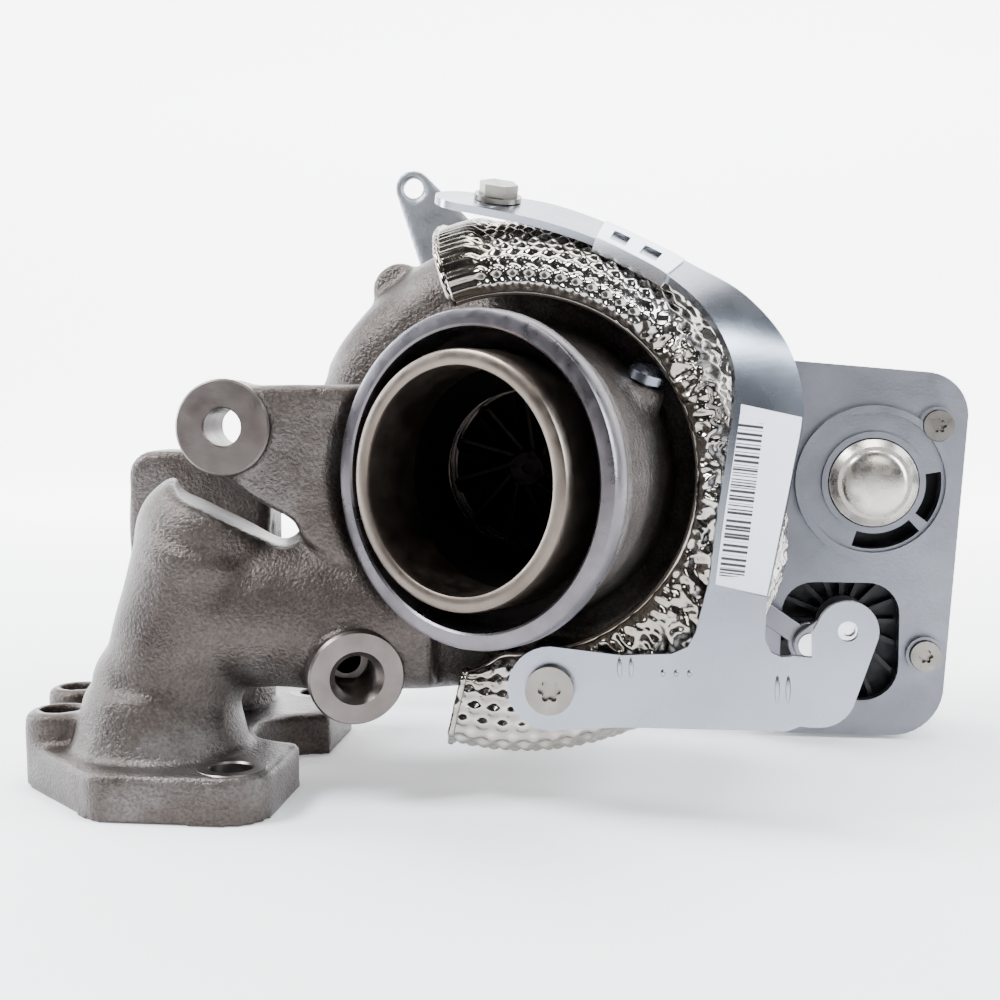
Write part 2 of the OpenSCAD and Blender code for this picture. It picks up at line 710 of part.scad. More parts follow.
module shaft_nut() {
    color([0.45, 0.45, 0.47]) difference() {
        union() {
            on_axis(137.02) cylinder(r = 5.2, h = 1.2);
            on_axis(138.2) cylinder(r = 5.4, h = 4.6, $fn = 6);
        }
        on_axis(130) cylinder(r = 3 + clear / 2, h = 20);
    }
}

module thrust_collar() {
    color([0.62, 0.62, 0.64]) difference() {
        on_axis() rotate_extrude() polygon([
            [10.5, 103.6], [10.5, 105], [8.5, 105], [8.5, wheel_y - 0.05],
            [3, wheel_y - 0.05], [3, 112.3], [shaft_r + 0.03, 112.3], [shaft_r + 0.03, 103.6]]);
        on_axis() rotate_extrude() translate([7.2, 110.6]) square([3, 1.5]);
    }
}

module thrust_bearing() {
    color([0.72, 0.55, 0.30]) difference() {
        on_axis(105.1) cylinder(r = 19.9, h = 2.8);
        on_axis(100) cylinder(r = 8.5 + 0.06, h = 20);
    }
}

module journal_bearing() {
    color([0.75, 0.58, 0.32]) difference() {
        on_axis(bearing_y + 0.1) cylinder(r = 7, h = bearing_end_y - bearing_y - 0.1);
        on_axis(60) cylinder(r = shaft_r + clear, h = 60);
        on_axis(bearing_y + 8) difference() {
            cylinder(r = 8, h = 10);
            translate([0, 0, -bite]) cylinder(r = 5.6, h = 12);
        }
        for (a = [0:90:270]) on_axis(bearing_y + 5) rotate([0, 0, a]) rotate([0, 90, 0])
            cylinder(r = 0.9, h = 9);
        upright(0, bearing_pin_y, axis_z - 20, axis_z, 1.5 + clear / 2);
    }
}

module bearing_pin() {
    color([0.50, 0.50, 0.52]) upright(0, bearing_pin_y, axis_z - 16, axis_z - 5, 1.5);
}

module split_ring(y) {
    color([0.35, 0.35, 0.36]) difference() {
        on_axis() rotate_extrude() translate([7.35, y + 0.1]) square([1.23, 1.3]);
        translate([-0.3, y - bite, axis_z]) cube([0.6, 4, 12]);
    }
}

module turbine_piston_ring() { split_ring(72.1); }

module compressor_piston_ring() { split_ring(110.6); }

module inner_heat_shield() {
    color([0.60, 0.58, 0.55]) on_axis() rotate_extrude() polygon([
        [9.2, 66], [22.6, 66], [22.6, 64.4], [24.3, 64.4], [24.3, 65], [23.2, 65], [23.2, 66.6],
        [17.6, 66.6], [21, 73.4], [20.2, 73.4], [16.6, 67.2], [9.2, 66.6]]);
}

module backplate_o_ring() {
    color([0.10, 0.10, 0.11]) on_axis() rotate_extrude() translate([49.65, 111.7])
        square([0.36, 1.6]);
}

// ---------- actuator ----------

function involute(base_r, t) = base_r * [cos(t) + t * PI / 180 * sin(t), sin(t) - t * PI / 180 * cos(t)];
function roll_at(base_r, r) = r <= base_r ? 0 : sqrt(pow(r / base_r, 2) - 1) * 180 / PI;
function turned(p, a) = [p[0] * cos(a) - p[1] * sin(a), p[0] * sin(a) + p[1] * cos(a)];

// A spur gear's outline. A low addendum share keeps small pinions free of undercut.
module gear_outline(teeth, mod, skip_from = 1, skip_to = 0) {
    pitch_r = teeth * mod / 2;
    base_r = pitch_r * cos(25);
    tip_r = pitch_r + mod * 0.8;
    root_r = pitch_r - mod * 1.05;
    pitch_roll = roll_at(base_r, pitch_r);
    pitch_polar = atan2(involute(base_r, pitch_roll)[1], involute(base_r, pitch_roll)[0]);
    half = 90 / teeth - gear_backlash / pitch_r * 180 / PI / 2;
    rolls = [for (k = [0:4]) roll_at(base_r, max(root_r, base_r))
        + (roll_at(base_r, tip_r) - roll_at(base_r, max(root_r, base_r))) * k / 4];
    flank = [for (t = rolls) turned(involute(base_r, t), -half - pitch_polar)];
    root = turned([root_r, 0], -half - pitch_polar);
    tooth = concat([root], flank,
        [for (k = [4:-1:0]) [flank[k][0], -flank[k][1]]], [[root[0], -root[1]]]);
    union() {
        circle(r = root_r + 0.05);
        for (i = [0:teeth - 1]) if (i < skip_from || i > skip_to)
            rotate(i * 360 / teeth) polygon(concat([[root_r * 0.6, -0.2]], tooth, [[root_r * 0.6, 0.2]]));
    }
}

// Turns that put a tooth of one wheel in a gap of the other along the line between them.
motor_to_middle = atan2(middle_z - motor_z, middle_x - motor_x);
middle_to_output = atan2(output_z - middle_z, output_x - middle_x);
middle_wheel_turn = motor_to_middle + 180 + 180 / first_wheel_teeth;
middle_pinion_turn = middle_to_output;
output_wheel_turn = middle_to_output + 180 + 180 / second_wheel_teeth;

module motor_pinion() {
    color([0.62, 0.62, 0.60]) union() {
        difference() {
            plate(120.6, 6) translate([motor_x, motor_z]) rotate(motor_to_middle)
                gear_outline(first_pinion_teeth, first_module);
            rod(motor_x, motor_z, 110, 130, 1.5);
        }
        rod(motor_x, motor_z, 100.2, 127.2, 1.5);
        rod(motor_x, motor_z, 98.5, 110.5, 8.5);
    }
}

module motor_can() {
    color([0.66, 0.65, 0.62]) difference() {
        union() {
            rod(motor_x, motor_z, 91, 112.2, motor_r - 0.4);
            translate([motor_x, 91.1, motor_z]) rotate([90, 0, 0])
                cylinder(r1 = motor_r - 0.4, r2 = motor_r - 2.6, h = 2);
        }
        rod(motor_x, motor_z, 96, 111, 10.2);
        rod(motor_x, motor_z, 105, 120, 2.2);
    }
}

module middle_gear() {
    color([0.78, 0.76, 0.70]) difference() {
        union() {
            plate(121, 5.2) translate([middle_x, middle_z]) rotate(middle_wheel_turn)
                gear_outline(first_wheel_teeth, first_module);
            plate(113.8, 7.3) translate([middle_x, middle_z]) rotate(middle_pinion_turn)
                gear_outline(second_pinion_teeth, second_module);
        }
        rod(middle_x, middle_z, 100, 140, 1.5 + clear);
    }
}

module middle_gear_axle() {
    color([0.60, 0.60, 0.62]) rod(middle_x, middle_z, 108.5, 129.5, 1.5);
}

module sector_gear() {
    color([0.78, 0.76, 0.70]) difference() {
        plate(114.4, 5) translate([output_x, output_z]) union() {
            intersection() {
                rotate(output_wheel_turn) gear_outline(second_wheel_teeth, second_module);
                rotate(middle_to_output + 180) polygon([[0, 0], [30, -24], [34, 0], [30, 24]]);
            }
            circle(r = 8.5);
        }
        rod(output_x, output_z, 100, 130, output_r + clear / 2);
    }
}

module output_shaft() {
    color([0.58, 0.58, 0.60]) difference() {
        rod(output_x, output_z, 82.6, 121.2, output_r);
        rod(output_x, output_z, 80, 84.4, 2);
    }
}

module output_bush() {
    color([0.70, 0.56, 0.32]) difference() {
        rod(output_x, output_z, 99, 113.6, 6);
        rod(output_x, output_z, 90, 120, output_r + clear);
    }
}

// The housing's outline seen from the front: x to the right, z up.
module case_outline(inset) {
    hull() {
        translate([75, 101.5]) circle(r = 13 - inset, $fn = 40);
        translate([114.5, 98]) circle(r = 13 - inset, $fn = 40);
        translate([106.5, 16.5]) circle(r = 15.5 - inset, $fn = 40);
        translate([77, 13.5]) circle(r = 12.5 - inset, $fn = 40);
    }
}

function cover_points() = [[118.4, 95], [115.9, 26], [71.5, 104.5], [72.5, 11.5]];

module window_outline(grow) {
    hull() {
        translate([99, 38]) circle(r = 9.5 + grow, $fn = 32);
        translate([83, 38]) circle(r = 9.5 + grow, $fn = 32);
        translate([97.5, 22.5]) circle(r = 11 + grow, $fn = 32);
        translate([83, 22]) circle(r = 10 + grow, $fn = 32);
    }
}

module actuator_housing() {
    color([0.50, 0.50, 0.52]) difference() {
        union() {
            plate(case_y, case_end_y - case_y) case_outline(0);
            rod(motor_x, motor_z, 91.5, case_y + 1, 23);
            for (p = cover_points()) rod(p[0], p[1], 92.6, case_end_y, 5.6);
            for (z = foot_heights()) plate(121.2, 6.8) hull() {
                translate([foot_x, z]) circle(r = 5, $fn = 32);
                translate([76, z]) circle(r = 6, $fn = 32);
            }
        }
        // inside of the tray, with solid corners round the screws
        difference() {
            plate(99, 40) case_outline(3);
            for (p = cover_points()) rod(p[0], p[1], 90, 150, 5.6);
        }
        rod(motor_x, motor_z, 80, 99.5, motor_r);
        // raised ring: a step, and two slots beside the motor
        difference() {
            rod(motor_x, motor_z, 80, 93.2, 21);
            rod(motor_x, motor_z, 79, 95, 15.2);
        }
        intersection() {
            difference() {
                rod(motor_x, motor_z, 80, 100, 20);
                rod(motor_x, motor_z, 79, 101, 15.2);
            }
            union() {
                plate(80, 40) translate([motor_x, motor_z])
                    polygon([[0, 0], [30, 5], [30, -22]]);
                plate(80, 40) translate([motor_x, motor_z])
                    polygon([[0, 0], [21, -22], [-10, -32]]);
            }
        }
        plate(80, 20) window_outline(0);
        for (p = cover_points()) {
            rod(p[0], p[1], 80, 93.6, 4.7);
            rod(p[0], p[1], 80, 150, 2.1);
        }
        for (z = foot_heights()) rod(foot_x, z, 100, 140, 2.6);
    }
}

module gear_plate() {
    color([0.05, 0.05, 0.06]) difference() {
        union() {
            difference() {
                plate(106, 5.8) case_outline(3.2);
                for (p = cover_points()) rod(p[0], p[1], 90, 150, 5.8);
            }
            rod(output_x, output_z, 99.2, 106.1, 8);
            intersection() {
                for (i = [0:15]) translate([output_x, 0, output_z]) rotate([0, i * 22.5, 0])
                    translate([7.5, 101.2, -0.7]) cube([18, 5, 1.4]);
                plate(99.2, 10) window_outline(-0.4);
            }
            rod(middle_x, middle_z, 105, 113, 4);
        }
        rod(output_x, output_z, 90, 120, 6 + clear / 2);
        rod(middle_x, middle_z, 108.5, 120, 1.5 + clear / 2);
        rod(motor_x, motor_z, 90, 120, motor_r - 0.38);
    }
}

module gear_cover() {
    color([0.05, 0.05, 0.06]) difference() {
        union() {
            plate(case_end_y, 4.5) case_outline(-0.9);
            plate(case_end_y + 4, 4) translate([middle_x, middle_z]) circle(r = 17);
            plate(case_end_y - 2.2, 2.3) difference() {
                case_outline(3.2);
                case_outline(5);
                for (p = cover_points()) translate(p) circle(r = 5.8);
            }
            // plug socket
            translate([84, case_end_y + 3, 4]) cube([22, 19, 15]);
        }
        rod(middle_x, middle_z, 120, 129.6, 1.5 + clear / 2);
        translate([86, case_end_y + 5, -2]) cube([18, 15, 19]);
        for (p = cover_points()) rod(p[0], p[1], 100, 150, 1.7);
    }
}

module cover_screws() {
    color([0.60, 0.60, 0.63]) for (p = cover_points())
        translate([p[0], 93.57, p[1]]) rotate([90, 0, 0]) screw(1.65, 4.5, 2.6, 34);
}

module actuator_bolts() {
    color([0.60, 0.60, 0.63]) for (z = foot_heights())
        translate([foot_x, 111.95, z]) rotate([90, 0, 0]) screw(2.5, 4, 3, 18);
}

// ---------- heat shield ----------

// The sheet's inner line as (radius, Y): rounded over the top, squarer round the bottom.
function shield_top() = [[45.5, 9.4], [50, 8.8], [54.5, 12], [57.5, 18], [61.3, 27],
    [shield_r - 3.5, 40], [shield_r - 1, 56], [shield_r, 68]];
function shield_bottom() = [[45.5, 9.4], [52, 8.9], [60, 9.6], [66.5, 12], [shield_r + 2, 18],
    [shield_r + 4, 30], [shield_r + 5, 46], [shield_r + 5.5, 68]];
function shield_outward() = [[0, -1], [0.1, -1], [0.6, -0.8], [0.8, -0.6], [0.92, -0.39],
    [1, -0.2], [1, -0.1], [1, 0]];
function eased(x) = let (u = min(max(x, 0), 1)) u * u * (3 - 2 * u);

// A point of the sheet at an angle, a place k along its line and a height t off it.
function shield_point(angle, k, t) = let (
    low = eased((12 - angle) / 40),
    flare = k < 2 ? eased((-92 - angle) / 12) * 6 * (1 - k / 2) : 2.5 * eased((angle - 97) / 6),
    p = shield_top()[k] * (1 - low) + shield_bottom()[k] * low + [flare, 0] + t * shield_outward()[k])
    [p[0] * cos(angle), p[1], axis_z + p[0] * sin(angle)];

module shield_sheet(from, to, steps) {
    n = 16;
    points = [for (i = [0:steps]) let (a = from + (to - from) * i / steps)
        each concat([for (k = [0:7]) shield_point(a, k, 0)],
            [for (k = [7:-1:0]) shield_point(a, k, shield_t)])];
    sides = [for (i = [0:steps - 1]) for (k = [0:n - 1])
        let (a = i * n + k, b = i * n + (k + 1) % n) each [[a, b, b + n], [a, b + n, a + n]]];
    caps = [for (k = [0:6]) each [
        [k, 15 - k, k + 1], [k + 1, 15 - k, 14 - k],
        [steps * n + k, steps * n + k + 1, steps * n + 15 - k],
        [steps * n + k + 1, steps * n + 14 - k, steps * n + 15 - k]]];
    polyhedron(points, concat(sides, caps));
}

module heat_shield() {
    color([0.72, 0.71, 0.69]) difference() {
        union() {
            difference() {
                shield_sheet(-104, 110, 48);
                rod(screw_x, screw_z, 5, 40, 8.6);
            }
            rod(screw_x, screw_z, 8.6, 9.6, 10);
        }
        rod(screw_x, screw_z, 0, 30, 3.4);
    }
}

// The strap's two long edges at stations from its left end to its foot: front edge, then back edge.
function strap_edges() = [
    [[-12.9, 21, 151.1], [-14.3, 39, 156.9]], [[3.3, 20, 147.5], [4, 37, 154]],
    [[16.3, 18, 143.2], [17.9, 34, 149.3]], [[27.6, 16, 137.9], [30.4, 31, 143.4]],
    [[38.5, 13, 131.4], [43.7, 27, 136.2]], [[46.8, 10, 123.3], [56.6, 22, 128.2]],
    [[52.3, 7.5, 113], [66.6, 16, 115.7]], [[53.3, 6, 103.9], [70.3, 11.5, 100.7]],
    [[51.7, 4.9, 89.9], [68.1, 8.6, 85.7]], [[49.5, 4.6, 73.6], [65, 6.6, 69.5]],
    [[47.7, 4.6, 56.5], [61.8, 5.6, 53.4]]];

function curve(a, b, c, d, u) = 0.5 * (2 * b + (c - a) * u + (2 * a - 5 * b + 4 * c - d) * u * u
    + (3 * b - a - 3 * c + d) * u * u * u);

// One edge of the strap (0 front, 1 back) at station s, with a smooth curve between stations.
function strap_edge(e, s) = let (p = strap_edges(), n = len(p) - 1, k = max(min(floor(s), n - 1), 0))
    curve(p[max(k - 1, 0)][e], p[k][e], p[k + 1][e], p[min(k + 2, n)][e], s - k);

function unit(v) = v / norm(v);
function strap_across(s) = unit(strap_edge(1, s) - strap_edge(0, s));
function strap_along(s) = unit((strap_edge(0, s + 0.02) + strap_edge(1, s + 0.02))
    - (strap_edge(0, s - 0.02) + strap_edge(1, s - 0.02)));
function strap_normal(s) = unit(cross(strap_along(s), strap_across(s)));

// A point on the strap: share of its width, distance across it, height off its middle.
function strap_point(s, q) = strap_edge(0, s) + (strap_edge(1, s) - strap_edge(0, s)) * q[0]
    + strap_across(s) * q[1] + strap_normal(s) * q[2];

// A section carried along the strap between two stations.
module along_strap(section, from, to, steps) {
    n = len(section);
    points = [for (k = [0:steps]) for (q = section) strap_point(from + (to - from) * k / steps, q)];
    sides = [for (k = [0:steps - 1]) for (i = [0:n - 1])
        let (a = k * n + i, b = k * n + (i + 1) % n) each [[a, b + n, b], [a, a + n, b + n]]];
    caps = [[for (i = [0:n - 1]) i], [for (i = [n - 1:-1:0]) steps * n + i]];
    polyhedron(points, concat(sides, caps));
}

// Local Z stands square on the strap, at a station and a share of its width.
module on_strap(station, share) {
    up = strap_normal(station);
    translate(strap_point(station, [share, 0, 0])) rotate([0, acos(up[2]), atan2(up[1], up[0])])
        children();
}

module shield_bracket() {
    color([0.70, 0.71, 0.74]) difference() {
        union() {
            along_strap([[0, 0, -1], [1, 0, -1], [1, 0, 1], [0, 0, 1]], 0, 10, 60);
            on_strap(0, 0.5) translate([0, 0, -1]) cylinder(r = 9.3, h = 2);
            // lower plate, step, ear and the foot under the screw
            plate(4, 2.2) polygon([[47.7, 58], [61.8, 55], [61.5, 44.5], [63, 41.5], [65.5, 40.4],
                [71, 40.8], [71, 23.8], [67, 22.2], [26, 22.2], [21, 24], [16, 26], [16, 38],
                [24, 40], [39, 40.7], [43, 42.5], [44.8, 46]]);
            translate([0, 0, 23.8]) linear_extrude(17) polygon([[68, 4], [72, 1.8], [75, 1.8], [75, 4],
                [72.6, 4], [68.6, 6.2], [68, 6.2]]);
            plate(1.8, 2.2) difference() {
                hull() {
                    translate([ear_x, ear_z]) circle(r = 7.3, $fn = 32);
                    translate([74.5, 32.5]) circle(r = 8.7, $fn = 32);
                }
                translate([60, 10]) square([12.5, 60]);
            }
            plate(4, 2.2) hull() {
                translate([screw_x, screw_z]) circle(r = 10.5, $fn = 32);
                translate([26, 31.2]) circle(r = 9, $fn = 32);
            }
            rod(screw_x, screw_z, 4.1, 8.5, 8);
        }
        rod(screw_x, screw_z, 0, 20, 3.3);
        rod(ear_x, ear_z, 0, 20, 2.45);
        on_strap(strap_bolt_station, strap_bolt_share) translate([0, 0, -10]) cylinder(r = 3.2, h = 20);
    }
}

module strap_bolt() {
    color([0.58, 0.57, 0.55]) on_strap(strap_bolt_station, strap_bolt_share) union() {
        translate([0, 0, -2.5]) cylinder(r = 3, h = 6);
        translate([0, 0, 1.15]) cylinder(r = 6.2, h = 1.2);
        translate([0, 0, 2.3]) cylinder(r = 5.2, h = 3.2, $fn = 6);
        translate([0, 0, -2.8]) cylinder(r = 4.6, h = 1.6);
    }
}

module bracket_screw() {
    color([0.60, 0.59, 0.56]) translate([screw_x, 3.95, screw_z]) rotate([90, 0, 0])
        screw(3, 6, 3.2, 18);
}

module shield_stud() {
    color([0.45, 0.46, 0.50]) stud_place() union() {
        translate([0, 0, -10]) cylinder(r = 3, h = 11);
        translate([0, 0, 0.1]) cylinder(r = 5, h = 2.2);
        translate([0, 0, 2.2]) cylinder(r1 = 5, r2 = 2.8, h = 1.6);
    }
}

module spring_clip() {
    color([0.75, 0.76, 0.78]) difference() {
        along_strap([[0, -1.6, -1.9], [0, 8, -1.9], [0, 8, -1.2], [0, -0.8, -1.2], [0, -0.8, 1.2],
            [0.92, 0, 1.2], [0.92, 0, 1.9], [0, -1.6, 1.9]], 2.25, 3.85, 8);
        along_strap([[0.12, 0, 0], [0.62, 0, 0], [0.62, 0, 6], [0.12, 0, 6]], 2.5, 2.85, 3);
        along_strap([[0.12, 0, 0], [0.62, 0, 0], [0.62, 0, 6], [0.12, 0, 6]], 3.15, 3.5, 3);
    }
}

module label() {
    color([0.93, 0.94, 0.96])
        along_strap([[0.1, 0, 1.04], [0.97, 0, 1.04], [0.97, 0, 1.16], [0.1, 0, 1.16]], 43 / 6, 59 / 6, 16);
}

// ---------- the nodes ----------

place() {
    turbine_housing();
    bearing_housing();
    compressor_housing();
    compressor_backplate();
    v_clamp();
    v_clamp_bolt();
    nozzle_ring();
    nozzle_front_wall();
    nozzle_spacers();
    unison_ring();
    ring_guides();
    inner_heat_shield();
    turbine_wheel_and_shaft();
    compressor_wheel();
    shaft_nut();
    thrust_collar();
    thrust_bearing();
    journal_bearing();
    bearing_pin();
    turbine_piston_ring();
    compressor_piston_ring();
    backplate_o_ring();
    housing_screws();
    strap_bolt();
    vane_drive_crank();
    crank_bush();
    vane_lever();
    lever_pin();
    link_rod();
    actuator_crank();
    crank_pin();
    output_shaft();
    output_bush();
    sector_gear();
    middle_gear();
    middle_gear_axle();
    motor_can();
    motor_pinion();
    actuator_housing();
    gear_plate();
    gear_cover();
    cover_screws();
    actuator_bolts();
    heat_shield();
    shield_bracket();
    bracket_screw();
    shield_stud();
    spring_clip();
    label();
    for (i = [1:vane_count]) vane(i);
}
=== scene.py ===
"""The turbocharger's looks: cast, embossed, rolled and moulded surfaces over the CAD frame."""

import json
import math

import bpy
import numpy as np
import openvdb
from mathutils import Matrix, Vector


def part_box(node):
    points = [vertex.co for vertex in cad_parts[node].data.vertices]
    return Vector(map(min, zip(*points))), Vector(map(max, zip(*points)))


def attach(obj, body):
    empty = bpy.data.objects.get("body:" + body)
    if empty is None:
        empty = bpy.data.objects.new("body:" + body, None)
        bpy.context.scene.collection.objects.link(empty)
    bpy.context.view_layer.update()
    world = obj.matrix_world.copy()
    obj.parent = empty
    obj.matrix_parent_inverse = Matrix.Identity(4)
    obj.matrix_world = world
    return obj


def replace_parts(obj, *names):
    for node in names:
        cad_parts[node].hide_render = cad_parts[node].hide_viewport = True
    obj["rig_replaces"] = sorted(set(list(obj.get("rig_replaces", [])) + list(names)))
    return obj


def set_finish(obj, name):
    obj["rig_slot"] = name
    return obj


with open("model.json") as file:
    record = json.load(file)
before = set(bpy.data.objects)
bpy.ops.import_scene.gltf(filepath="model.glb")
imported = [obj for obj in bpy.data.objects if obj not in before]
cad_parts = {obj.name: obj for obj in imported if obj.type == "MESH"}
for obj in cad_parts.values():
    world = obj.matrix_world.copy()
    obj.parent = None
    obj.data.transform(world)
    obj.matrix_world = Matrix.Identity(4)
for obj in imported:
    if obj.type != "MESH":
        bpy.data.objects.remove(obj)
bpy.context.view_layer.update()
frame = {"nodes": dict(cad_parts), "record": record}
NODES = frame["nodes"]
MM = 0.001

# Driving sizes, in metres, in the row frame
AXIS_X = 95 * MM
AXIS_Z = 84 * MM
BEND_Y = -16 * MM
OUTLET_ANGLE = math.radians(29.5)
CAMERA_PLACE = Vector((129.0, -365.4, 103.0)) * MM
CAMERA_TURN = (math.radians(86), 0, math.radians(6))
LENS = 52.2
SHIELD_FROM, SHIELD_TO = -104, 110


# ---------- materials ----------

class Nodes:
    """Short forms for building one procedural material."""

    def __init__(self, name):
        self.material = bpy.data.materials.new(name)
        self.material.use_nodes = True
        self.tree = self.material.node_tree
        self.shader = self.tree.nodes["Principled BSDF"]
        self.place = self.add("ShaderNodeTexCoord").outputs["Object"]
        self.last_normal = None

    def add(self, kind, **values):
        node = self.tree.nodes.new(kind)
        for key, value in values.items():
            if key in node.inputs:
                node.inputs[key].default_value = value
            else:
                setattr(node, key, value)
        return node

    def link(self, source, target):
        self.tree.links.new(source, target)

    def set(self, **values):
        for key, value in values.items():
            self.shader.inputs[key.replace("_", " ")].default_value = value
        return self

    def noise(self, scale, detail=4.0, rough=0.55, stretch=None):
        node = self.add("ShaderNodeTexNoise")
        node.inputs["Scale"].default_value = scale
        node.inputs["Detail"].default_value = detail
        node.inputs["Roughness"].default_value = rough
        self.link(self.stretched(stretch), node.inputs["Vector"])
        return node.outputs["Fac"]

    def measured(self, source, direction):
        """How far a point lies along a direction."""
        node = self.add("ShaderNodeVectorMath", operation="DOT_PRODUCT")
        self.link(source, node.inputs[0])
        node.inputs[1].default_value = direction
        return node.outputs["Value"]

    def stretched(self, stretch):
        if stretch is None:
            return self.place
        node = self.add("ShaderNodeMapping")
        node.inputs["Scale"].default_value = stretch
        self.link(self.place, node.inputs["Vector"])
        return node.outputs["Vector"]

    def ramp(self, source, *stops):
        node = self.add("ShaderNodeValToRGB")
        ramp = node.color_ramp
        while len(ramp.elements) < len(stops):
            ramp.elements.new(0.5)
        for element, (place, colour) in zip(ramp.elements, stops):
            element.position = place
            element.color = (*colour, 1.0)
        self.link(source, node.inputs["Fac"])
        return node.outputs["Color"]

    def range(self, source, low, high, to_low, to_high):
        node = self.add("ShaderNodeMapRange")
        keys = ("From Min", "From Max", "To Min", "To Max")
        for key, value in zip(keys, (low, high, to_low, to_high)):
            node.inputs[key].default_value = value
        self.link(source, node.inputs["Value"])
        return node.outputs["Result"]

    def mix(self, factor, first, second, blend="MIX"):
        node = self.add("ShaderNodeMix", data_type="RGBA", blend_type=blend)
        sockets = (node.inputs[0], node.inputs[6], node.inputs[7])
        for value, socket in zip((factor, first, second), sockets):
            if isinstance(value, (int, float)):
                socket.default_value = value
            elif isinstance(value, tuple):
                socket.default_value = (*value, 1.0)
            else:
                self.link(value, socket)
        return node.outputs[2]

    def bump(self, height, distance, strength=1.0):
        node = self.add("ShaderNodeBump")
        node.inputs["Distance"].default_value = distance
        node.inputs["Strength"].default_value = strength
        self.link(height, node.inputs["Height"])
        if self.last_normal is not None:
            self.link(self.last_normal, node.inputs["Normal"])
        self.last_normal = node.outputs["Normal"]
        self.link(self.last_normal, self.shader.inputs["Normal"])
        return self

    def colour(self, source):
        self.link(source, self.shader.inputs["Base Color"])
        return self

    def roughness(self, source):
        self.link(source, self.shader.inputs["Roughness"])
        return self


def cast_iron(name, dark, mid, light):
    """Sand-cast iron with a fine grain, soft lumps and heat-browned patches."""
    n = Nodes(name).set(Metallic=0.82)
    patches = n.noise(28, 5, 0.6)
    grain = n.noise(1150, 3, 0.6)
    base = n.ramp(patches, (0.30, dark), (0.52, mid), (0.72, light))
    speck = n.range(grain, 0.35, 0.70, 0.70, 1.18)
    n.colour(n.mix(1.0, base, speck, "MULTIPLY"))
    n.roughness(n.range(n.noise(60, 4), 0.3, 0.7, 0.29, 0.43))
    n.bump(n.noise(120, 3, 0.5), 0.0006, 0.5)
    n.bump(grain, 0.00042, 0.95)
    return n.material


def machined(name, colour, tint, rough=0.30):
    """A turned or milled face with fine tool marks and a light film of oxide."""
    n = Nodes(name).set(Metallic=1.0)
    patches = n.noise(45, 4, 0.6)
    n.colour(n.ramp(patches, (0.32, colour), (0.68, tint)))
    n.roughness(n.range(n.noise(220, 4, 0.6), 0.3, 0.7, rough - 0.06, rough + 0.10))
    n.bump(n.noise(2600, 2, 0.5), 0.00004, 0.5)
    n.bump(n.noise(500, 3, 0.55), 0.00006, 0.4)
    return n.material


def sheet_metal(name, colour, shade, rough=0.26, stretch=(60, 60, 900), scratches=0.35):
    """Rolled steel sheet with a drawn grain and handling scuffs."""
    n = Nodes(name).set(Metallic=1.0)
    n.colour(n.ramp(n.noise(18, 3, 0.5), (0.25, shade), (0.75, colour)))
    n.roughness(n.range(n.noise(60, 3, 0.5), 0.25, 0.75, rough - 0.03, rough + 0.06))
    n.bump(n.noise(1.0, 3, 0.6, stretch), 0.00003, scratches)
    return n.material


def blasted(name, colour, shade, rough=0.42, grain=1500, depth=0.00009):
    """Die-cast aluminium, blasted to an even satin."""
    n = Nodes(name).set(Metallic=1.0)
    n.colour(n.ramp(n.noise(24, 4, 0.6), (0.30, shade), (0.68, colour)))
    n.roughness(n.range(n.noise(130, 4), 0.3, 0.7, rough - 0.05, rough + 0.08))
    n.bump(n.noise(grain, 3, 0.55), depth, 0.6)
    return n.material


def plastic(name, colour, rough=0.42):
    n = Nodes(name).set(Base_Color=(*colour, 1.0), Specular_IOR_Level=0.3)
    n.roughness(n.range(n.noise(400, 3), 0.3, 0.7, rough - 0.06, rough + 0.08))
    n.bump(n.noise(2200, 2), 0.00004, 0.5)
    return n.material


def embossed_sheet():
    """Bright heat-shield steel, a little warm where it has run hot."""
    n = Nodes("shield_sheet").set(Metallic=1.0)
    n.colour(n.ramp(n.noise(22, 4, 0.6), (0.30, (0.23, 0.20, 0.16)), (0.52, (0.34, 0.315, 0.28)),
                    (0.74, (0.46, 0.45, 0.44))))
    n.roughness(n.range(n.noise(160, 4, 0.6), 0.3, 0.7, 0.11, 0.22))
    n.bump(n.noise(700, 3, 0.6), 0.00010, 0.45)
    return n.material


def label_film(box):
    """A plain bar pattern across the middle of a white film, with no writing."""
    n = Nodes("label_paper").set(Roughness=0.38)
    low, high = box
    split = n.add("ShaderNodeSeparateXYZ")
    n.link(n.place, split.inputs[0])
    lean = 0.118  # how far the strap leans from upright
    along = n.measured(n.place, (lean, 0, 1))
    across = n.measured(n.place, (1, 0, -lean))
    bars = n.add("ShaderNodeTexNoise", noise_dimensions="1D")
    bars.inputs["Scale"].default_value = 1500
    bars.inputs["Detail"].default_value = 0.0
    n.link(along, bars.inputs["W"])
    edge = 0.00005  # how softly the pattern ends
    margin = 0.10 * (high.z - low.z)
    bottom, top = low.z + margin, high.z - margin
    base = lean * (low.z + high.z) / 2
    left, right = low.x + 0.0030 - base, low.x + 0.0092 - base
    limits = [n.range(bars.outputs["Fac"], 0.49, 0.51, 0.0, 1.0),
              n.range(split.outputs["Z"], bottom, bottom + edge, 0.0, 1.0),
              n.range(split.outputs["Z"], top - edge, top, 1.0, 0.0),
              n.range(across, left, left + edge, 0.0, 1.0),
              n.range(across, right - edge, right, 1.0, 0.0)]
    ink = limits[0]
    for limit in limits[1:]:
        both = n.add("ShaderNodeMath", operation="MULTIPLY")
        n.link(ink, both.inputs[0])
        n.link(limit, both.inputs[1])
        ink = both.outputs[0]
    n.colour(n.mix(ink, (0.82, 0.83, 0.90), (0.02, 0.02, 0.025)))
    return n.material


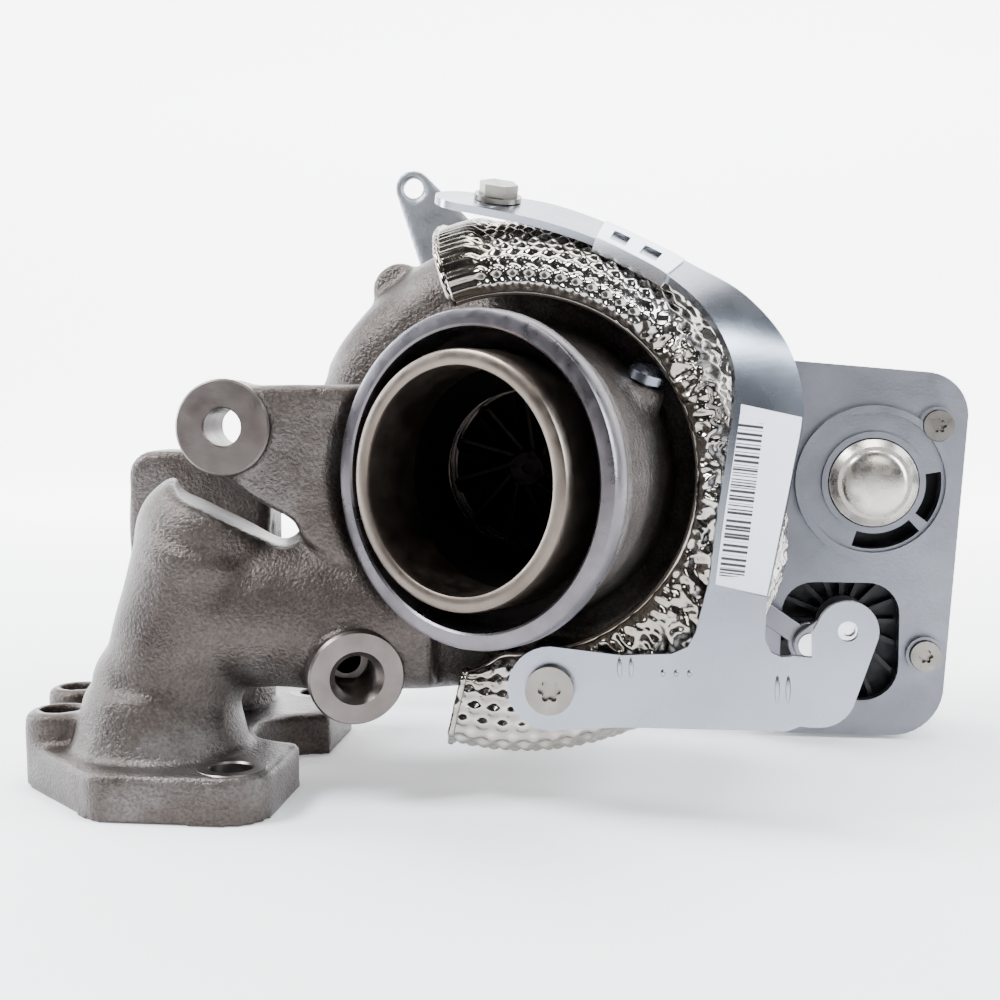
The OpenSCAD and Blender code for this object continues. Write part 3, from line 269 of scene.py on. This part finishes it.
MATERIALS = {
    "cast_iron": cast_iron("cast_iron", (0.042, 0.033, 0.029), (0.080, 0.067, 0.060),
                           (0.165, 0.153, 0.148)),
    "bearing_casting": cast_iron("bearing_casting", (0.10, 0.10, 0.10), (0.17, 0.165, 0.165),
                                 (0.26, 0.26, 0.27)),
    "cast_aluminium": blasted("cast_aluminium", (0.27, 0.28, 0.30), (0.18, 0.187, 0.205), 0.42,
                              grain=900, depth=0.00022),
    "milled_aluminium": machined("milled_aluminium", (0.72, 0.73, 0.75), (0.82, 0.83, 0.85), 0.22),
    "actuator_aluminium": blasted("actuator_aluminium", (0.24, 0.25, 0.275),
                                  (0.16, 0.165, 0.185), 0.38),
    "clamp_steel": sheet_metal("clamp_steel", (0.52, 0.50, 0.48), (0.38, 0.36, 0.34)),
    "plated_steel": machined("plated_steel", (0.17, 0.158, 0.14), (0.25, 0.235, 0.21), 0.30),
    "hot_steel": machined("hot_steel", (0.20, 0.17, 0.15), (0.30, 0.26, 0.23), 0.36),
    # near-black: painted shade of the wheel, which sits deep inside the housing
    "turbine_alloy": machined("turbine_alloy", (0.009, 0.007, 0.007), (0.018, 0.015, 0.014), 0.60),
    "ground_steel": machined("ground_steel", (0.60, 0.60, 0.61), (0.72, 0.72, 0.73), 0.18),
    "bronze": machined("bronze", (0.55, 0.36, 0.16), (0.66, 0.46, 0.22), 0.25),
    "seal_rubber": plastic("seal_rubber", (0.02, 0.02, 0.02), 0.6),
    "linkage_steel": sheet_metal("linkage_steel", (0.26, 0.26, 0.28), (0.17, 0.17, 0.19), 0.34),
    "gear_plastic": plastic("gear_plastic", (0.62, 0.58, 0.48), 0.45),
    "motor_steel": machined("motor_steel", (0.40, 0.37, 0.33), (0.52, 0.49, 0.45), 0.26),
    "black_plastic": plastic("black_plastic", (0.012, 0.012, 0.014), 0.38),
    "shield_sheet": embossed_sheet(),
    "strap_steel": sheet_metal("strap_steel", (0.29, 0.305, 0.34), (0.22, 0.235, 0.27), 0.25),
    "stud_steel": machined("stud_steel", (0.13, 0.145, 0.175), (0.20, 0.215, 0.25), 0.27),
    "clip_steel": sheet_metal("clip_steel", (0.74, 0.76, 0.80), (0.60, 0.62, 0.66), 0.18),
    "label_paper": label_film(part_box("label")),
    "outlet_ring": machined("outlet_ring", (0.080, 0.073, 0.078), (0.145, 0.134, 0.143), 0.30),
    "outlet_pipe": machined("outlet_pipe", (0.095, 0.076, 0.062), (0.165, 0.137, 0.115), 0.34),
    "machined_iron": machined("machined_iron", (0.105, 0.088, 0.080), (0.175, 0.155, 0.147), 0.36),
    # near-black for the outlet's deep passage and recess: painted shade
    "painted_shade_bore": machined("painted_shade_bore", (0.006, 0.005, 0.005), (0.016, 0.013, 0.012), 0.66),
}


def dress(obj, material, slot=None):
    obj.data.materials.clear()
    obj.data.materials.append(MATERIALS[material])
    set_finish(obj, slot or material)


# ---------- meshes ----------

def new_mesh(name, points, faces, material, slot=None, smooth=True):
    mesh = bpy.data.meshes.new(name)
    mesh.from_pydata([tuple(p) for p in points], [], [tuple(int(i) for i in f) for f in faces])
    mesh.validate()
    if smooth:
        mesh.polygons.foreach_set("use_smooth", [True] * len(mesh.polygons))
    obj = bpy.data.objects.new(name, mesh)
    bpy.context.scene.collection.objects.link(obj)
    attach(obj, "housing")
    dress(obj, material, slot)
    return obj


def lathe(name, profile, frame_matrix, material, slot, steps=160, closed=True):
    """A profile of (radius, height) turned about local Z. Each row of points is one ring."""
    rings = len(profile)
    points = []
    for k in range(steps):
        a = 2 * math.pi * k / steps
        for r, h in profile:
            points.append(frame_matrix @ Vector((r * math.cos(a), r * math.sin(a), h)))
    faces = []
    spans = rings if closed else rings - 1
    for k in range(steps):
        for i in range(spans):
            a, b = k * rings + i, k * rings + (i + 1) % rings
            c, d = ((k + 1) % steps) * rings + (i + 1) % rings, ((k + 1) % steps) * rings + i
            faces.append((a, d, c, b))
    obj = new_mesh(name, points, faces, material, slot, smooth=False)
    sharp_by_angle(obj, 32)
    return obj


def sharp_by_angle(obj, degrees):
    """Smooth shading except across edges sharper than the given angle."""
    mesh = obj.data
    mesh.polygons.foreach_set("use_smooth", [True] * len(mesh.polygons))
    mesh.set_sharp_from_angle(angle=math.radians(degrees))


def blurred(field, sigma):
    """A Gaussian blur along each axis in turn."""
    reach = int(3 * sigma + 1)
    offsets = np.arange(-reach, reach + 1)
    weights = np.exp(-0.5 * (offsets / sigma) ** 2)
    weights /= weights.sum()
    for axis in range(3):
        result = np.zeros_like(field)
        for offset, weight in zip(offsets, weights):
            result += np.float32(weight) * np.roll(field, int(offset), axis)
        field = result
    return field


def read(items, key, width=1, kind=np.float32):
    """One attribute of every element of a mesh, as an array."""
    values = np.empty(len(items) * width, kind)
    items.foreach_get(key, values)
    return values.reshape(-1, width) if width > 1 else values


def casting(node, voxel, sigma, crisp, material, lumps=0.0, patch=None):
    """A cast copy of a CAD node: inner corners filled and edges rounded, except where crisp."""
    mesh = NODES[node].data
    mesh.calc_loop_triangles()
    points = read(mesh.vertices, "co", 3)
    triangles = read(mesh.loop_triangles, "vertices", 3, np.int32).astype(np.uint32)
    transform = openvdb.createLinearTransform(voxelSize=voxel)
    band = 3 * sigma + 3
    grid = openvdb.FloatGrid.createLevelSetFromPolygons(
        points, triangles=triangles, transform=transform, halfWidth=band)
    pad = int(band) + 3
    low = np.floor(points.min(0) / voxel).astype(int) - pad
    high = np.ceil(points.max(0) / voxel).astype(int) + pad
    field = np.empty(tuple(high - low), np.float32)
    grid.copyToArray(field, ijk=tuple(int(v) for v in low))
    axes = [(np.arange(low[i], high[i]) * voxel).astype(np.float32) for i in range(3)]
    x, y, z = np.meshgrid(*axes, indexing="ij", sparse=True)
    if patch is not None:
        field = np.minimum(field, patch(x, y, z)).astype(np.float32)
    soft = blurred(field, sigma)
    keep = np.clip(crisp(x, y, z), 0, 1).astype(np.float32)
    field = soft + (field - soft) * keep
    if lumps:  # slow waves, as on a sand casting
        wave = (np.sin(x * 310 + 2.1 * np.sin(z * 190)) * np.sin(y * 270 + 1.7 * np.sin(x * 230))
                + np.sin(z * 340 + 1.9 * np.sin(y * 210)) * np.sin(x * 150 + y * 120))
        field += (1 - keep) * np.float32(lumps) * wave.astype(np.float32)
    shape = openvdb.FloatGrid(float(band * voxel))
    shape.transform = transform
    shape.copyFromArray(field, ijk=tuple(int(v) for v in low))
    points, triangles, quads = shape.convertToPolygons(isovalue=0.0, adaptivity=0.0)
    faces = [tuple(f[::-1]) for f in quads] + [tuple(f[::-1]) for f in triangles]
    obj = new_mesh(node + "_cast", points, faces, material)
    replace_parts(obj, node)
    return obj


def near_disc(x, y, z, centre, direction, radius, depth):
    """1 inside a short cylinder, falling to 0 a little outside it."""
    c, d = Vector(centre), Vector(direction).normalized()
    along = (x - c.x) * d.x + (y - c.y) * d.y + (z - c.z) * d.z
    across = np.sqrt(np.maximum((x - c.x) ** 2 + (y - c.y) ** 2 + (z - c.z) ** 2 - along ** 2, 0))
    gap = np.maximum(across - radius, np.abs(along) - depth)
    fade = 0.0015
    return np.clip(1 - gap / fade, 0, 1)


def split_by_x(obj, cuts, inside=None, inside_material=None):
    """Cuts a dense mesh into strips across X, none too heavy, and keeps its shading whole."""
    mesh = obj.data
    centres = read(mesh.polygons, "center", 3)
    normals = read(mesh.vertex_normals, "vector", 3)
    points = read(mesh.vertices, "co", 3)
    corners = read(mesh.loops, "vertex_index", kind=np.int32)
    starts = read(mesh.polygons, "loop_start", kind=np.int32)
    totals = read(mesh.polygons, "loop_total", kind=np.int32)
    strip = np.searchsorted(np.array(cuts), centres[:, 0])
    pieces = []
    for k in range(len(cuts) + 1):
        chosen = np.nonzero(strip == k)[0]
        if not len(chosen):
            continue
        loops = np.concatenate([np.arange(starts[f], starts[f] + totals[f]) for f in chosen])
        used, local = np.unique(corners[loops], return_inverse=True)
        part = bpy.data.meshes.new(f"{obj.name}_{k + 1}")
        part.vertices.add(len(used))
        part.vertices.foreach_set("co", points[used].ravel())
        part.loops.add(len(loops))
        part.loops.foreach_set("vertex_index", local.astype(np.int32))
        part.polygons.add(len(chosen))
        ends = np.cumsum(totals[chosen])
        part.polygons.foreach_set("loop_start", (ends - totals[chosen]).astype(np.int32))
        part.update(calc_edges=True)
        part.polygons.foreach_set("use_smooth", [True] * len(chosen))
        part.materials.append(mesh.materials[0])
        if inside is not None:
            part.materials.append(MATERIALS[inside_material])
            hit = inside(centres[chosen]).astype(np.int32)
            part.polygons.foreach_set("material_index", hit)
        part.normals_split_custom_set_from_vertices(normals[used])
        piece = bpy.data.objects.new(f"{obj.name}_{k + 1}", part)
        bpy.context.scene.collection.objects.link(piece)
        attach(piece, "housing")
        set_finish(piece, obj["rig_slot"])
        pieces.append(piece)
    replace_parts(pieces[0], *obj["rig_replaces"])
    for piece in pieces[1:]:
        piece["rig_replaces"] = list(obj["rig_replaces"])
    bpy.data.objects.remove(obj)
    return pieces


# ---------- turbine casting ----------

OUT = (Matrix.Translation((AXIS_X, BEND_Y, AXIS_Z)) @ Matrix.Rotation(-OUTLET_ANGLE, 4, "Z")
       @ Matrix.Rotation(math.radians(90), 4, "X"))
OUT_DIRECTION = (OUT.to_3x3() @ Vector((0, 0, 1))).normalized()
BEND = Vector((AXIS_X, BEND_Y, AXIS_Z))
ARM_EYE = Vector((22.1, -12.5, 95.9)) * MM
SENSOR = Matrix.Translation(Vector((55.5, -11.5, 33.5)) * MM) @ Matrix.Rotation(
    math.radians(21), 4, "Z") @ Matrix.Rotation(math.radians(97), 4, "X")
SENSOR_DIRECTION = (SENSOR.to_3x3() @ Vector((0, 0, 1))).normalized()
SCREW = (104.3, 31.5)  # millimetres
STUD_HOLES = [(26, -21), (26, 72), (-28.5, 5), (-35.5, 35)]

FORWARD = (0, -1, 0)
FLANGE_SKIN = 0.0022  # height over which the manifold's milled face stays sharp
REAR_JOINT_Y = 0.0475
STUD_BOSS_R, STUD_BOSS_TOP = 0.0068, 0.022
# machined places: centre, direction, radius and half depth
MACHINED = [(BEND + OUT_DIRECTION * 0.0150, OUT_DIRECTION, 0.0405, 0.0090),
            (ARM_EYE, FORWARD, 0.0128, 0.002),
            (ARM_EYE, FORWARD, 0.0062, 0.021),
            (SENSOR.translation, SENSOR_DIRECTION, 0.0130, 0.0015),
            (SENSOR.translation, SENSOR_DIRECTION, 0.0072, 0.020)]


def turbine_crisp(x, y, z):
    """Where the turbine casting is machined: flange, stud holes, outlet, eye, sensor boss, rear."""
    keep = np.clip(1 - np.abs(z) / FLANGE_SKIN, 0, 1) + 0 * x + 0 * y
    keep = np.maximum(keep, np.clip((y - REAR_JOINT_Y) / 0.002, 0, 1))
    for hx, hy in STUD_HOLES:
        across = np.sqrt((x - hx * MM) ** 2 + (y - hy * MM) ** 2)
        beside = np.clip(1 - (across - STUD_BOSS_R) / 0.0012, 0, 1)
        keep = np.maximum(keep, beside * np.clip((STUD_BOSS_TOP - z) / 0.001, 0, 1))
    for centre, direction, radius, depth in MACHINED:
        keep = np.maximum(keep, near_disc(x, y, z, centre, direction, radius, depth))
    return keep


def compressor_crisp(x, y, z):
    """Where the compressor casting is machined: its inlet's face and the joint with its back."""
    inlet = np.clip((y - 0.149) / 0.001, 0, 1)
    joint = np.clip((0.0935 - y) / 0.001, 0, 1)
    return np.maximum(inlet, joint) + 0 * x + 0 * z


# Walls backed up in the casting: radius of a shell, half its thickness, and where it ends
NECK_WALL, NECK_HALF, NECK_FROM_X = 0.0295, 0.0015, BEND.x + 0.012
RISER_WALL, RISER_HALF, RISER_TO_X, RISER_TO_Z = 0.0153, 0.0014, -0.002, 0.040
RISER_Z = 0.02833  # centre of the riser's shell, on the row frame's vertical axis


def thin_walls(x, y, z):
    """Backs the casting's two thin walls from outside, so that rounding leaves them closed."""
    neck = np.sqrt((x - BEND.x) ** 2 + (y - BEND.y) ** 2 + (z - BEND.z) ** 2)
    neck = np.maximum(np.abs(neck - NECK_WALL) - NECK_HALF, NECK_FROM_X - x)
    riser = np.sqrt(x ** 2 + y ** 2 + (z - RISER_Z) ** 2)
    riser = np.maximum(np.abs(riser - RISER_WALL) - RISER_HALF, x - RISER_TO_X)
    return np.minimum(neck, np.maximum(riser, z - RISER_TO_Z))


def in_outlet(centres):
    """True for faces inside the gas passage behind the outlet and in the recess round its pipe:
    these get the near-black painted shade.
    """
    from_bend = centres - np.array(BEND)
    along = from_bend @ np.array(OUT_DIRECTION)
    across = np.linalg.norm(from_bend - along[:, None] * np.array(OUT_DIRECTION), axis=1)
    in_pipe = (across < 0.0290) & (along > -0.005)
    radial = np.hypot(centres[:, 0] - AXIS_X, centres[:, 2] - AXIS_Z)
    in_throat = (radial < 0.0285) & (from_bend[:, 1] < 0.046) & (along < 0.022)
    recess = (across < 0.0358) & (across > 0.0300) & (along > 0.004) & (along < 0.0160)
    return in_pipe | in_throat | recess


# Turned profiles, as (radius, height) in millimetres
RING_PROFILE = [(35.5, 8.0), (35.5, 16.4), (35.85, 17.3), (36.4, 17.65), (38.8, 17.65),
                (39.7, 17.35), (40.05, 16.6), (40.05, 12.7), (39.8, 12.0), (37.8, 9.3), (37.5, 8.0)]
PIPE_PROFILE = [(26.45, 4.5), (26.45, 21.6), (26.8, 22.3), (27.4, 22.65), (29.6, 22.65),
                (30.3, 22.25), (30.6, 21.4), (30.6, 7.2)]
EYE_PROFILE = [(4.75, -16), (4.75, -0.3), (5.1, 0.12), (11.6, 0.12), (12.1, -0.3), (12.1, -1.9)]
SEAT_PROFILE = [(5.35, -11.8), (5.35, -0.4), (5.75, 0.06), (8.6, 0.06), (8.9, -0.3)]
SEAT_TOP = 12
DOME_PROFILE = [(0.001, 1.5), (3, 1.45), (6, 1.2), (8.2, 0.7), (9.6, 0.0), (10.2, -0.9),
                (10.8, -1.5), (11.9, -1.7), (12.7, -2.0), (13.15, -2.8), (13.15, -6.0)]


def in_metres(profile):
    return [(r * MM, h * MM) for r, h in profile]


def sensor_profile():
    """The sensor boss's face and its threaded hole."""
    proud = 1.7  # the turned face stands clear of the duct beside it
    pitch, crest, root = 1.25, 5.35, 6.0
    thread = []
    for k in range(11):
        thread += [(root, proud - 1.1 - pitch * k), (crest, proud - 1.72 - pitch * k)]
    face = [(12.25, -5.0), (12.25, proud - 0.6), (11.7, proud + 0.12), (6.95, proud + 0.12)]
    return face + thread + [(crest, -13.8), (3.6, -14.0), (3.6, -24.0)]


def turbine_inserts():
    """The outlet's ring and pipe, the eye, the sensor boss and two stud seats, turned faces all."""
    lathe("outlet_ring_turned", in_metres(RING_PROFILE), OUT, "outlet_ring", "cast_iron", 220)
    lathe("outlet_pipe_turned", in_metres(PIPE_PROFILE), OUT, "outlet_pipe", "cast_iron", 200,
          closed=False)
    eye = Matrix.Translation(ARM_EYE) @ Matrix.Rotation(math.radians(90), 4, "X")
    lathe("arm_eye_turned", in_metres(EYE_PROFILE), eye, "machined_iron", "cast_iron", 96,
          closed=False)
    lathe("sensor_boss_turned", in_metres(sensor_profile()), SENSOR, "machined_iron", "cast_iron",
          96, closed=False)
    for k, (hx, hy) in enumerate(STUD_HOLES[:2]):
        place = Matrix.Translation(Vector((hx, hy, SEAT_TOP)) * MM)
        lathe(f"stud_seat_{k + 1}", in_metres(SEAT_PROFILE), place, "machined_iron", "cast_iron",
              72, closed=False)


# ---------- heat shield ----------

def smooth_line(points, step):
    """A Catmull-Rom curve through the points, sampled at even arc length."""
    p = np.array(points, float)
    p = np.vstack([2 * p[0] - p[1], p, 2 * p[-1] - p[-2]])
    dense = []
    for i in range(1, len(p) - 2):
        for u in np.linspace(0, 1, 40, endpoint=False):
            a, b, c, d = p[i - 1], p[i], p[i + 1], p[i + 2]
            dense.append(0.5 * (2 * b + (c - a) * u + (2 * a - 5 * b + 4 * c - d) * u ** 2
                                + (3 * b - a - 3 * c + d) * u ** 3))
    dense = np.array(dense + [p[-2]])
    length = np.concatenate([[0], np.cumsum(np.linalg.norm(np.diff(dense, axis=0), axis=1))])
    at = np.arange(0, length[-1], step)
    return np.column_stack([np.interp(at, length, dense[:, k]) for k in range(p.shape[1])]), at


def soft_noise(u, v, seed):
    """Smooth wandering noise from a few crossed waves."""
    rng = np.random.default_rng(seed)
    total = 0
    for _ in range(9):
        ku, kv = rng.normal(0, 1, 2)
        total = total + np.sin(ku * u + kv * v + rng.uniform(0, 6.28))
    return total / 4.0


# The sheet's section over the top and round the bottom, as (radius, depth) in millimetres
SHIELD_TOP = [(45.3, 10.2), (45.9, 8.7), (50, 8.0), (54.9, 11.2), (58.3, 17.4), (62.2, 26.6),
              (65.4, 39.8), (68, 55.9), (69, 68)]
SHIELD_BOTTOM = [(45.3, 10.2), (46.3, 8.6), (52, 7.9), (60.6, 8.7), (67.3, 11.4), (70.9, 17.6),
                 (73, 29.8), (74, 45.9), (74.5, 68)]
SHEET_DEPTH = 1.1
STUD_PITCH, ROW_PITCH = 4.9, 3.4


def eased(x):
    x = np.clip(x, 0, 1)
    return x * x * (3 - 2 * x)


def shield_surface(angles, step):
    """The sheet's points and outward directions over angle and length, and the arc lengths."""
    top, along = smooth_line(SHIELD_TOP, step)
    bottom, _ = smooth_line(SHIELD_BOTTOM, step)
    rows = len(along)
    share = np.linspace(0, 1, rows)
    given = np.linspace(0, 1, len(bottom))
    bottom = np.column_stack([np.interp(share, given, bottom[:, k]) for k in (0, 1)])
    low = eased((12 - angles) / 40)[:, None, None]
    line = top[None] * (1 - low) + bottom[None] * low
    inner = eased((-92 - angles) / 12)[:, None] * 6 * np.clip(1 - along / 8, 0, 1)[None, :]
    outer = 2.5 * eased((angles - 97) / 6)[:, None] * np.clip((along - 6) / 8, 0, 1)[None, :]
    line[:, :, 0] += inner + outer
    tangent = np.gradient(line, axis=1)
    tangent /= np.linalg.norm(tangent, axis=2)[:, :, None]
    out = np.stack([tangent[:, :, 1], -tangent[:, :, 0]], axis=-1)
    return line, out, along


def turned(line, angles):
    """Points in the row frame from (radius, depth) over angle."""
    theta = np.radians(angles)[:, None]
    return np.stack([AXIS_X + line[:, :, 0] * MM * np.cos(theta), BEND_Y + line[:, :, 1] * MM,
                     AXIS_Z + line[:, :, 0] * MM * np.sin(theta)], axis=-1)


def grid_faces(rows, columns, flip=False):
    grid = np.arange(rows * columns).reshape(rows, columns)
    order = [grid[:-1, :-1], grid[:-1, 1:], grid[1:, 1:], grid[1:, :-1]]
    return np.stack(order[::-1] if flip else order, axis=-1).reshape(-1, 4)


def shield_sheet():
    """The embossed sheet, its plain inner side and its rolled hem."""
    angles = np.linspace(SHIELD_FROM, SHIELD_TO, 520)
    line, out, along = shield_surface(angles, 0.52)
    degrees, length = np.meshgrid(angles, along, indexing="ij")
    around = np.radians(degrees) * 62
    fluted = eased((degrees - 98) / 5)
    crumpled = eased((56 - degrees) / 16) * eased((degrees + 76) / 16)
    u = around + soft_noise(around * 0.16, length * 0.16, 3) * (0.12 + 1.7 * crumpled)
    v = length + soft_noise(around * 0.15, length * 0.18, 4) * (0.12 + 1.6 * crumpled)
    studs = np.cos(2 * np.pi * u / STUD_PITCH) * np.cos(np.pi * v / ROW_PITCH)
    rows = np.cos(2 * np.pi * v / ROW_PITCH)
    folds = 1 - 2 * np.abs(soft_noise(around * 0.50, length * 0.55, 5))
    creases = 1 - 2 * np.abs(soft_noise(around * 0.95, length * 0.90, 7))
    rim = np.clip(length / 2.6, 0, 1)
    back = np.clip((along[-1] - length) / 4.0, 0, 1)
    regular = 0.50 * studs * (1 - fluted) + 0.34 * rows
    loose = 0.55 * folds + 0.30 * creases + 0.6 * soft_noise(around * 0.14, length * 0.15, 6)
    height = rim * back * (regular * (1 - 0.7 * crumpled) + loose * crumpled)
    seat = np.hypot(AXIS_X / MM + line[:, :, 0] * np.cos(np.radians(degrees)) - SCREW[0],
                    AXIS_Z / MM + line[:, :, 0] * np.sin(np.radians(degrees)) - SCREW[1])
    height = height * np.clip((seat - 9) / 5, 0, 1)
    points = turned(line + height[:, :, None] * out, angles)
    faces = grid_faces(*points.shape[:2])
    sheet = new_mesh("shield_embossed", points.reshape(-1, 3), faces, "shield_sheet")
    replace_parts(sheet, "heat_shield")
    inner = turned((line + (height[:, :, None] - SHEET_DEPTH) * out)[::4, ::3], angles[::4])
    faces = grid_faces(*inner.shape[:2], flip=True)
    new_mesh("shield_inner_side", inner.reshape(-1, 3), faces, "shield_sheet")
    border = np.vstack([points[:, 0], points[-1, 1:], points[::-1, -1][1:], points[0, ::-1][1:-1]])
    closed_tube("shield_hem", border[::2], 0.9 * MM, "shield_sheet")


def closed_tube(name, points, radius, material, sides=8):
    """A round tube along a closed line of points."""
    points = np.array(points)
    count = len(points)
    ahead = np.roll(points, -1, 0) - np.roll(points, 1, 0)
    ahead /= np.linalg.norm(ahead, axis=1)[:, None] + 1e-12
    rings = []
    side = np.cross(ahead[0], (0, 0, 1.0))
    if np.linalg.norm(side) < 1e-3:
        side = np.cross(ahead[0], (0, 1.0, 0))
    for k in range(count):
        side = side - ahead[k] * (side @ ahead[k])
        side /= np.linalg.norm(side)
        other = np.cross(ahead[k], side)
        rings.append([points[k] + radius * (math.cos(a) * side + math.sin(a) * other)
                      for a in np.linspace(0, 2 * math.pi, sides, endpoint=False)])
    vertices = np.array(rings).reshape(-1, 3)
    faces = []
    for k in range(count):
        for i in range(sides):
            a, b = k * sides + i, k * sides + (i + 1) % sides
            c, d = ((k + 1) % count) * sides + (i + 1) % sides, ((k + 1) % count) * sides + i
            faces.append((a, d, c, b))
    return new_mesh(name, vertices, faces, material)


# ---------- CAD nodes shown as they are ----------

def soften(obj, width, angle=35):
    """Welds the CAD mesh's seams and breaks its edges with a small bevel."""
    mesh = obj.data
    if "custom_normal" in mesh.attributes:
        mesh.attributes.remove(mesh.attributes["custom_normal"])
    mesh.polygons.foreach_set("use_smooth", [True] * len(mesh.polygons))
    weld = obj.modifiers.new("weld", "WELD")
    weld.merge_threshold = 1e-6
    bevel = obj.modifiers.new("edges", "BEVEL")
    bevel.limit_method = "ANGLE"
    bevel.angle_limit = math.radians(angle)
    bevel.width = width
    bevel.segments = 2
    bevel.harden_normals = True
    bevel.use_clamp_overlap = True


EDGE = {"shield_bracket": 0.35, "actuator_housing": 0.8, "gear_cover": 0.7, "gear_plate": 0.3,
        "v_clamp": 0.4, "bracket_screw": 0.3, "cover_screws": 0.25, "spring_clip": 0.12,
        "actuator_crank": 0.4, "link_rod": 0.4, "vane_lever": 0.4, "shield_stud": 0.5,
        "strap_bolt": 0.35, "compressor_backplate": 0.4}  # bevels, in millimetres
USUAL_EDGE = 0.2


def dress_nodes():
    slots = {entry["node"]: entry["material_slot"] for entry in frame["record"]["subparts"]}
    for name, obj in NODES.items():
        obj.data.materials.clear()
        obj.data.materials.append(MATERIALS[slots[name]])
        if not obj.hide_render and name != "label":
            soften(obj, EDGE.get(name, USUAL_EDGE) * MM)


def motor_dome():
    """The drawn cap over the motor's end, and the pressed groove round it."""
    low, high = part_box("motor_can")
    centre = Vector(((low.x + high.x) / 2, low.y, (low.z + high.z) / 2))
    place = Matrix.Translation(centre) @ Matrix.Rotation(math.radians(90), 4, "X")
    lathe("motor_dome", in_metres(DOME_PROFILE), place, "motor_steel", "motor_steel", 96,
          closed=False)


# Beads in the bracket's lower plate, as (X, height, half length) in millimetres
BEADS = [(26.4, 37.2, 2.6), (29.2, 37.2, 2.6), (64.6, 32.5, 3.4), (67.2, 32.5, 3.4)] + [
    (37.0 + 3.2 * k, 36.0, 0.9) for k in range(3)]
PLATE_Y = BEND_Y + 4 * MM


def plate_beads():
    """Short plain stiffening beads pressed into the bracket's lower plate."""
    turns = np.linspace(0.01, math.pi - 0.01, 13)
    ball = [(MM * math.sin(a), -MM * math.cos(a)) for a in turns]
    for k, (x, z, reach) in enumerate(BEADS):
        place = Matrix.Translation((AXIS_X + x * MM, PLATE_Y, z * MM))
        place = place @ Matrix.Diagonal((0.62, 0.45, reach, 1))
        lathe(f"plate_bead_{k + 1}", ball, place, "strap_steel", "strap_steel", 20, closed=False)


# ---------- building ----------

TURBINE_VOXEL, COMPRESSOR_VOXEL = 0.95 * MM, 1.1 * MM
TURBINE_CUTS, COMPRESSOR_CUTS = [0.015, 0.072, 0.112], [0.07, 0.11]

turbine = casting("turbine_housing", TURBINE_VOXEL, 1.25, turbine_crisp, "cast_iron",
                  lumps=0.10 * MM, patch=thin_walls)
# the outlet's inner faces take the near-black painted shade
split_by_x(turbine, TURBINE_CUTS, in_outlet, "painted_shade_bore")
turbine_inserts()
compressor = casting("compressor_housing", COMPRESSOR_VOXEL, 1.2, compressor_crisp,
                     "cast_aluminium")
split_by_x(compressor, COMPRESSOR_CUTS)
shield_sheet()
motor_dome()
plate_beads()
dress_nodes()


# ---------- studio ----------

def studio():
    """A white table that sweeps up into a lit white backdrop, in an otherwise dim room."""
    floor = bpy.data.meshes.new("floor")
    half, back, rise, bend = 3.0, 1.6, 2.4, 0.5
    steps = [(-half, 0.0), (0.3, 0.0), (0.7, 0.0)] + [
        (back - bend + bend * math.sin(a), bend - bend * math.cos(a))
        for a in np.linspace(0, math.pi / 2, 12)]
    steps += [(back, rise)]
    points = [(side * half, y, z - 0.0002) for y, z in steps for side in (-1, 1)]
    faces = [(2 * k, 2 * k + 1, 2 * k + 3, 2 * k + 2) for k in range(len(steps) - 1)]
    floor.from_pydata(points, [], faces)
    floor.polygons.foreach_set("use_smooth", [True] * len(floor.polygons))
    obj = bpy.data.objects.new("floor", floor)
    bpy.context.scene.collection.objects.link(obj)
    n = Nodes("floor").set(Base_Color=(0.93, 0.93, 0.94, 1), Roughness=0.9,
                           Emission_Color=(0.97, 0.98, 1.0, 1))
    split = n.add("ShaderNodeSeparateXYZ")
    n.link(n.place, split.inputs[0])
    near, far, dim, bright = 0.10, 0.9, 0.30, 5.0
    glow = n.range(split.outputs["Y"], near, far, dim, bright)
    n.link(glow, n.shader.inputs["Emission Strength"])
    obj.data.materials.append(n.material)
    world = bpy.data.worlds.new("world")
    bpy.context.scene.world = world
    world.use_nodes = True
    background = world.node_tree.nodes["Background"]
    background.inputs["Color"].default_value = (0.85, 0.90, 1.0, 1)
    background.inputs["Strength"].default_value = 0.05


MIDDLE = Vector((0.09, 0.03, 0.08))
# name, place, width, height, power and colour
SOFTBOXES = [
    ("key", (-0.55, -0.30, 0.85), 0.40, 0.30, 24, (0.93, 0.96, 1.0)),
    ("side", (0.90, -0.15, 0.45), 0.22, 0.7, 14, (0.84, 0.92, 1.0)),
    ("top", (0.15, 0.10, 0.95), 0.7, 0.30, 12, (1, 1, 1)),
    ("left", (-0.8, 0.10, 0.28), 0.20, 0.5, 12, (0.86, 0.93, 1.0)),
    ("front", (0.45, -0.95, 0.60), 0.25, 0.22, 3.0, (1.0, 0.97, 0.94)),
]


def softbox(name, place, width, height, power, colour):
    """A rectangular light that faces the middle of the turbocharger."""
    light = bpy.data.lights.new(name, "AREA")
    light.shape = "RECTANGLE"
    light.size = width
    light.size_y = height
    light.energy = power
    light.color = colour
    obj = bpy.data.objects.new(name, light)
    obj.location = place
    obj.rotation_euler = (MIDDLE - Vector(place)).to_track_quat("-Z", "Y").to_euler()
    bpy.context.scene.collection.objects.link(obj)


studio()
for row in SOFTBOXES:
    softbox(*row)

camera = bpy.data.cameras.new("camera")
camera.lens = LENS
camera.clip_start = 0.01
camera_object = bpy.data.objects.new("camera", camera)
camera_object.location = CAMERA_PLACE
camera_object.rotation_euler = CAMERA_TURN
bpy.context.scene.collection.objects.link(camera_object)
bpy.context.scene.camera = camera_object
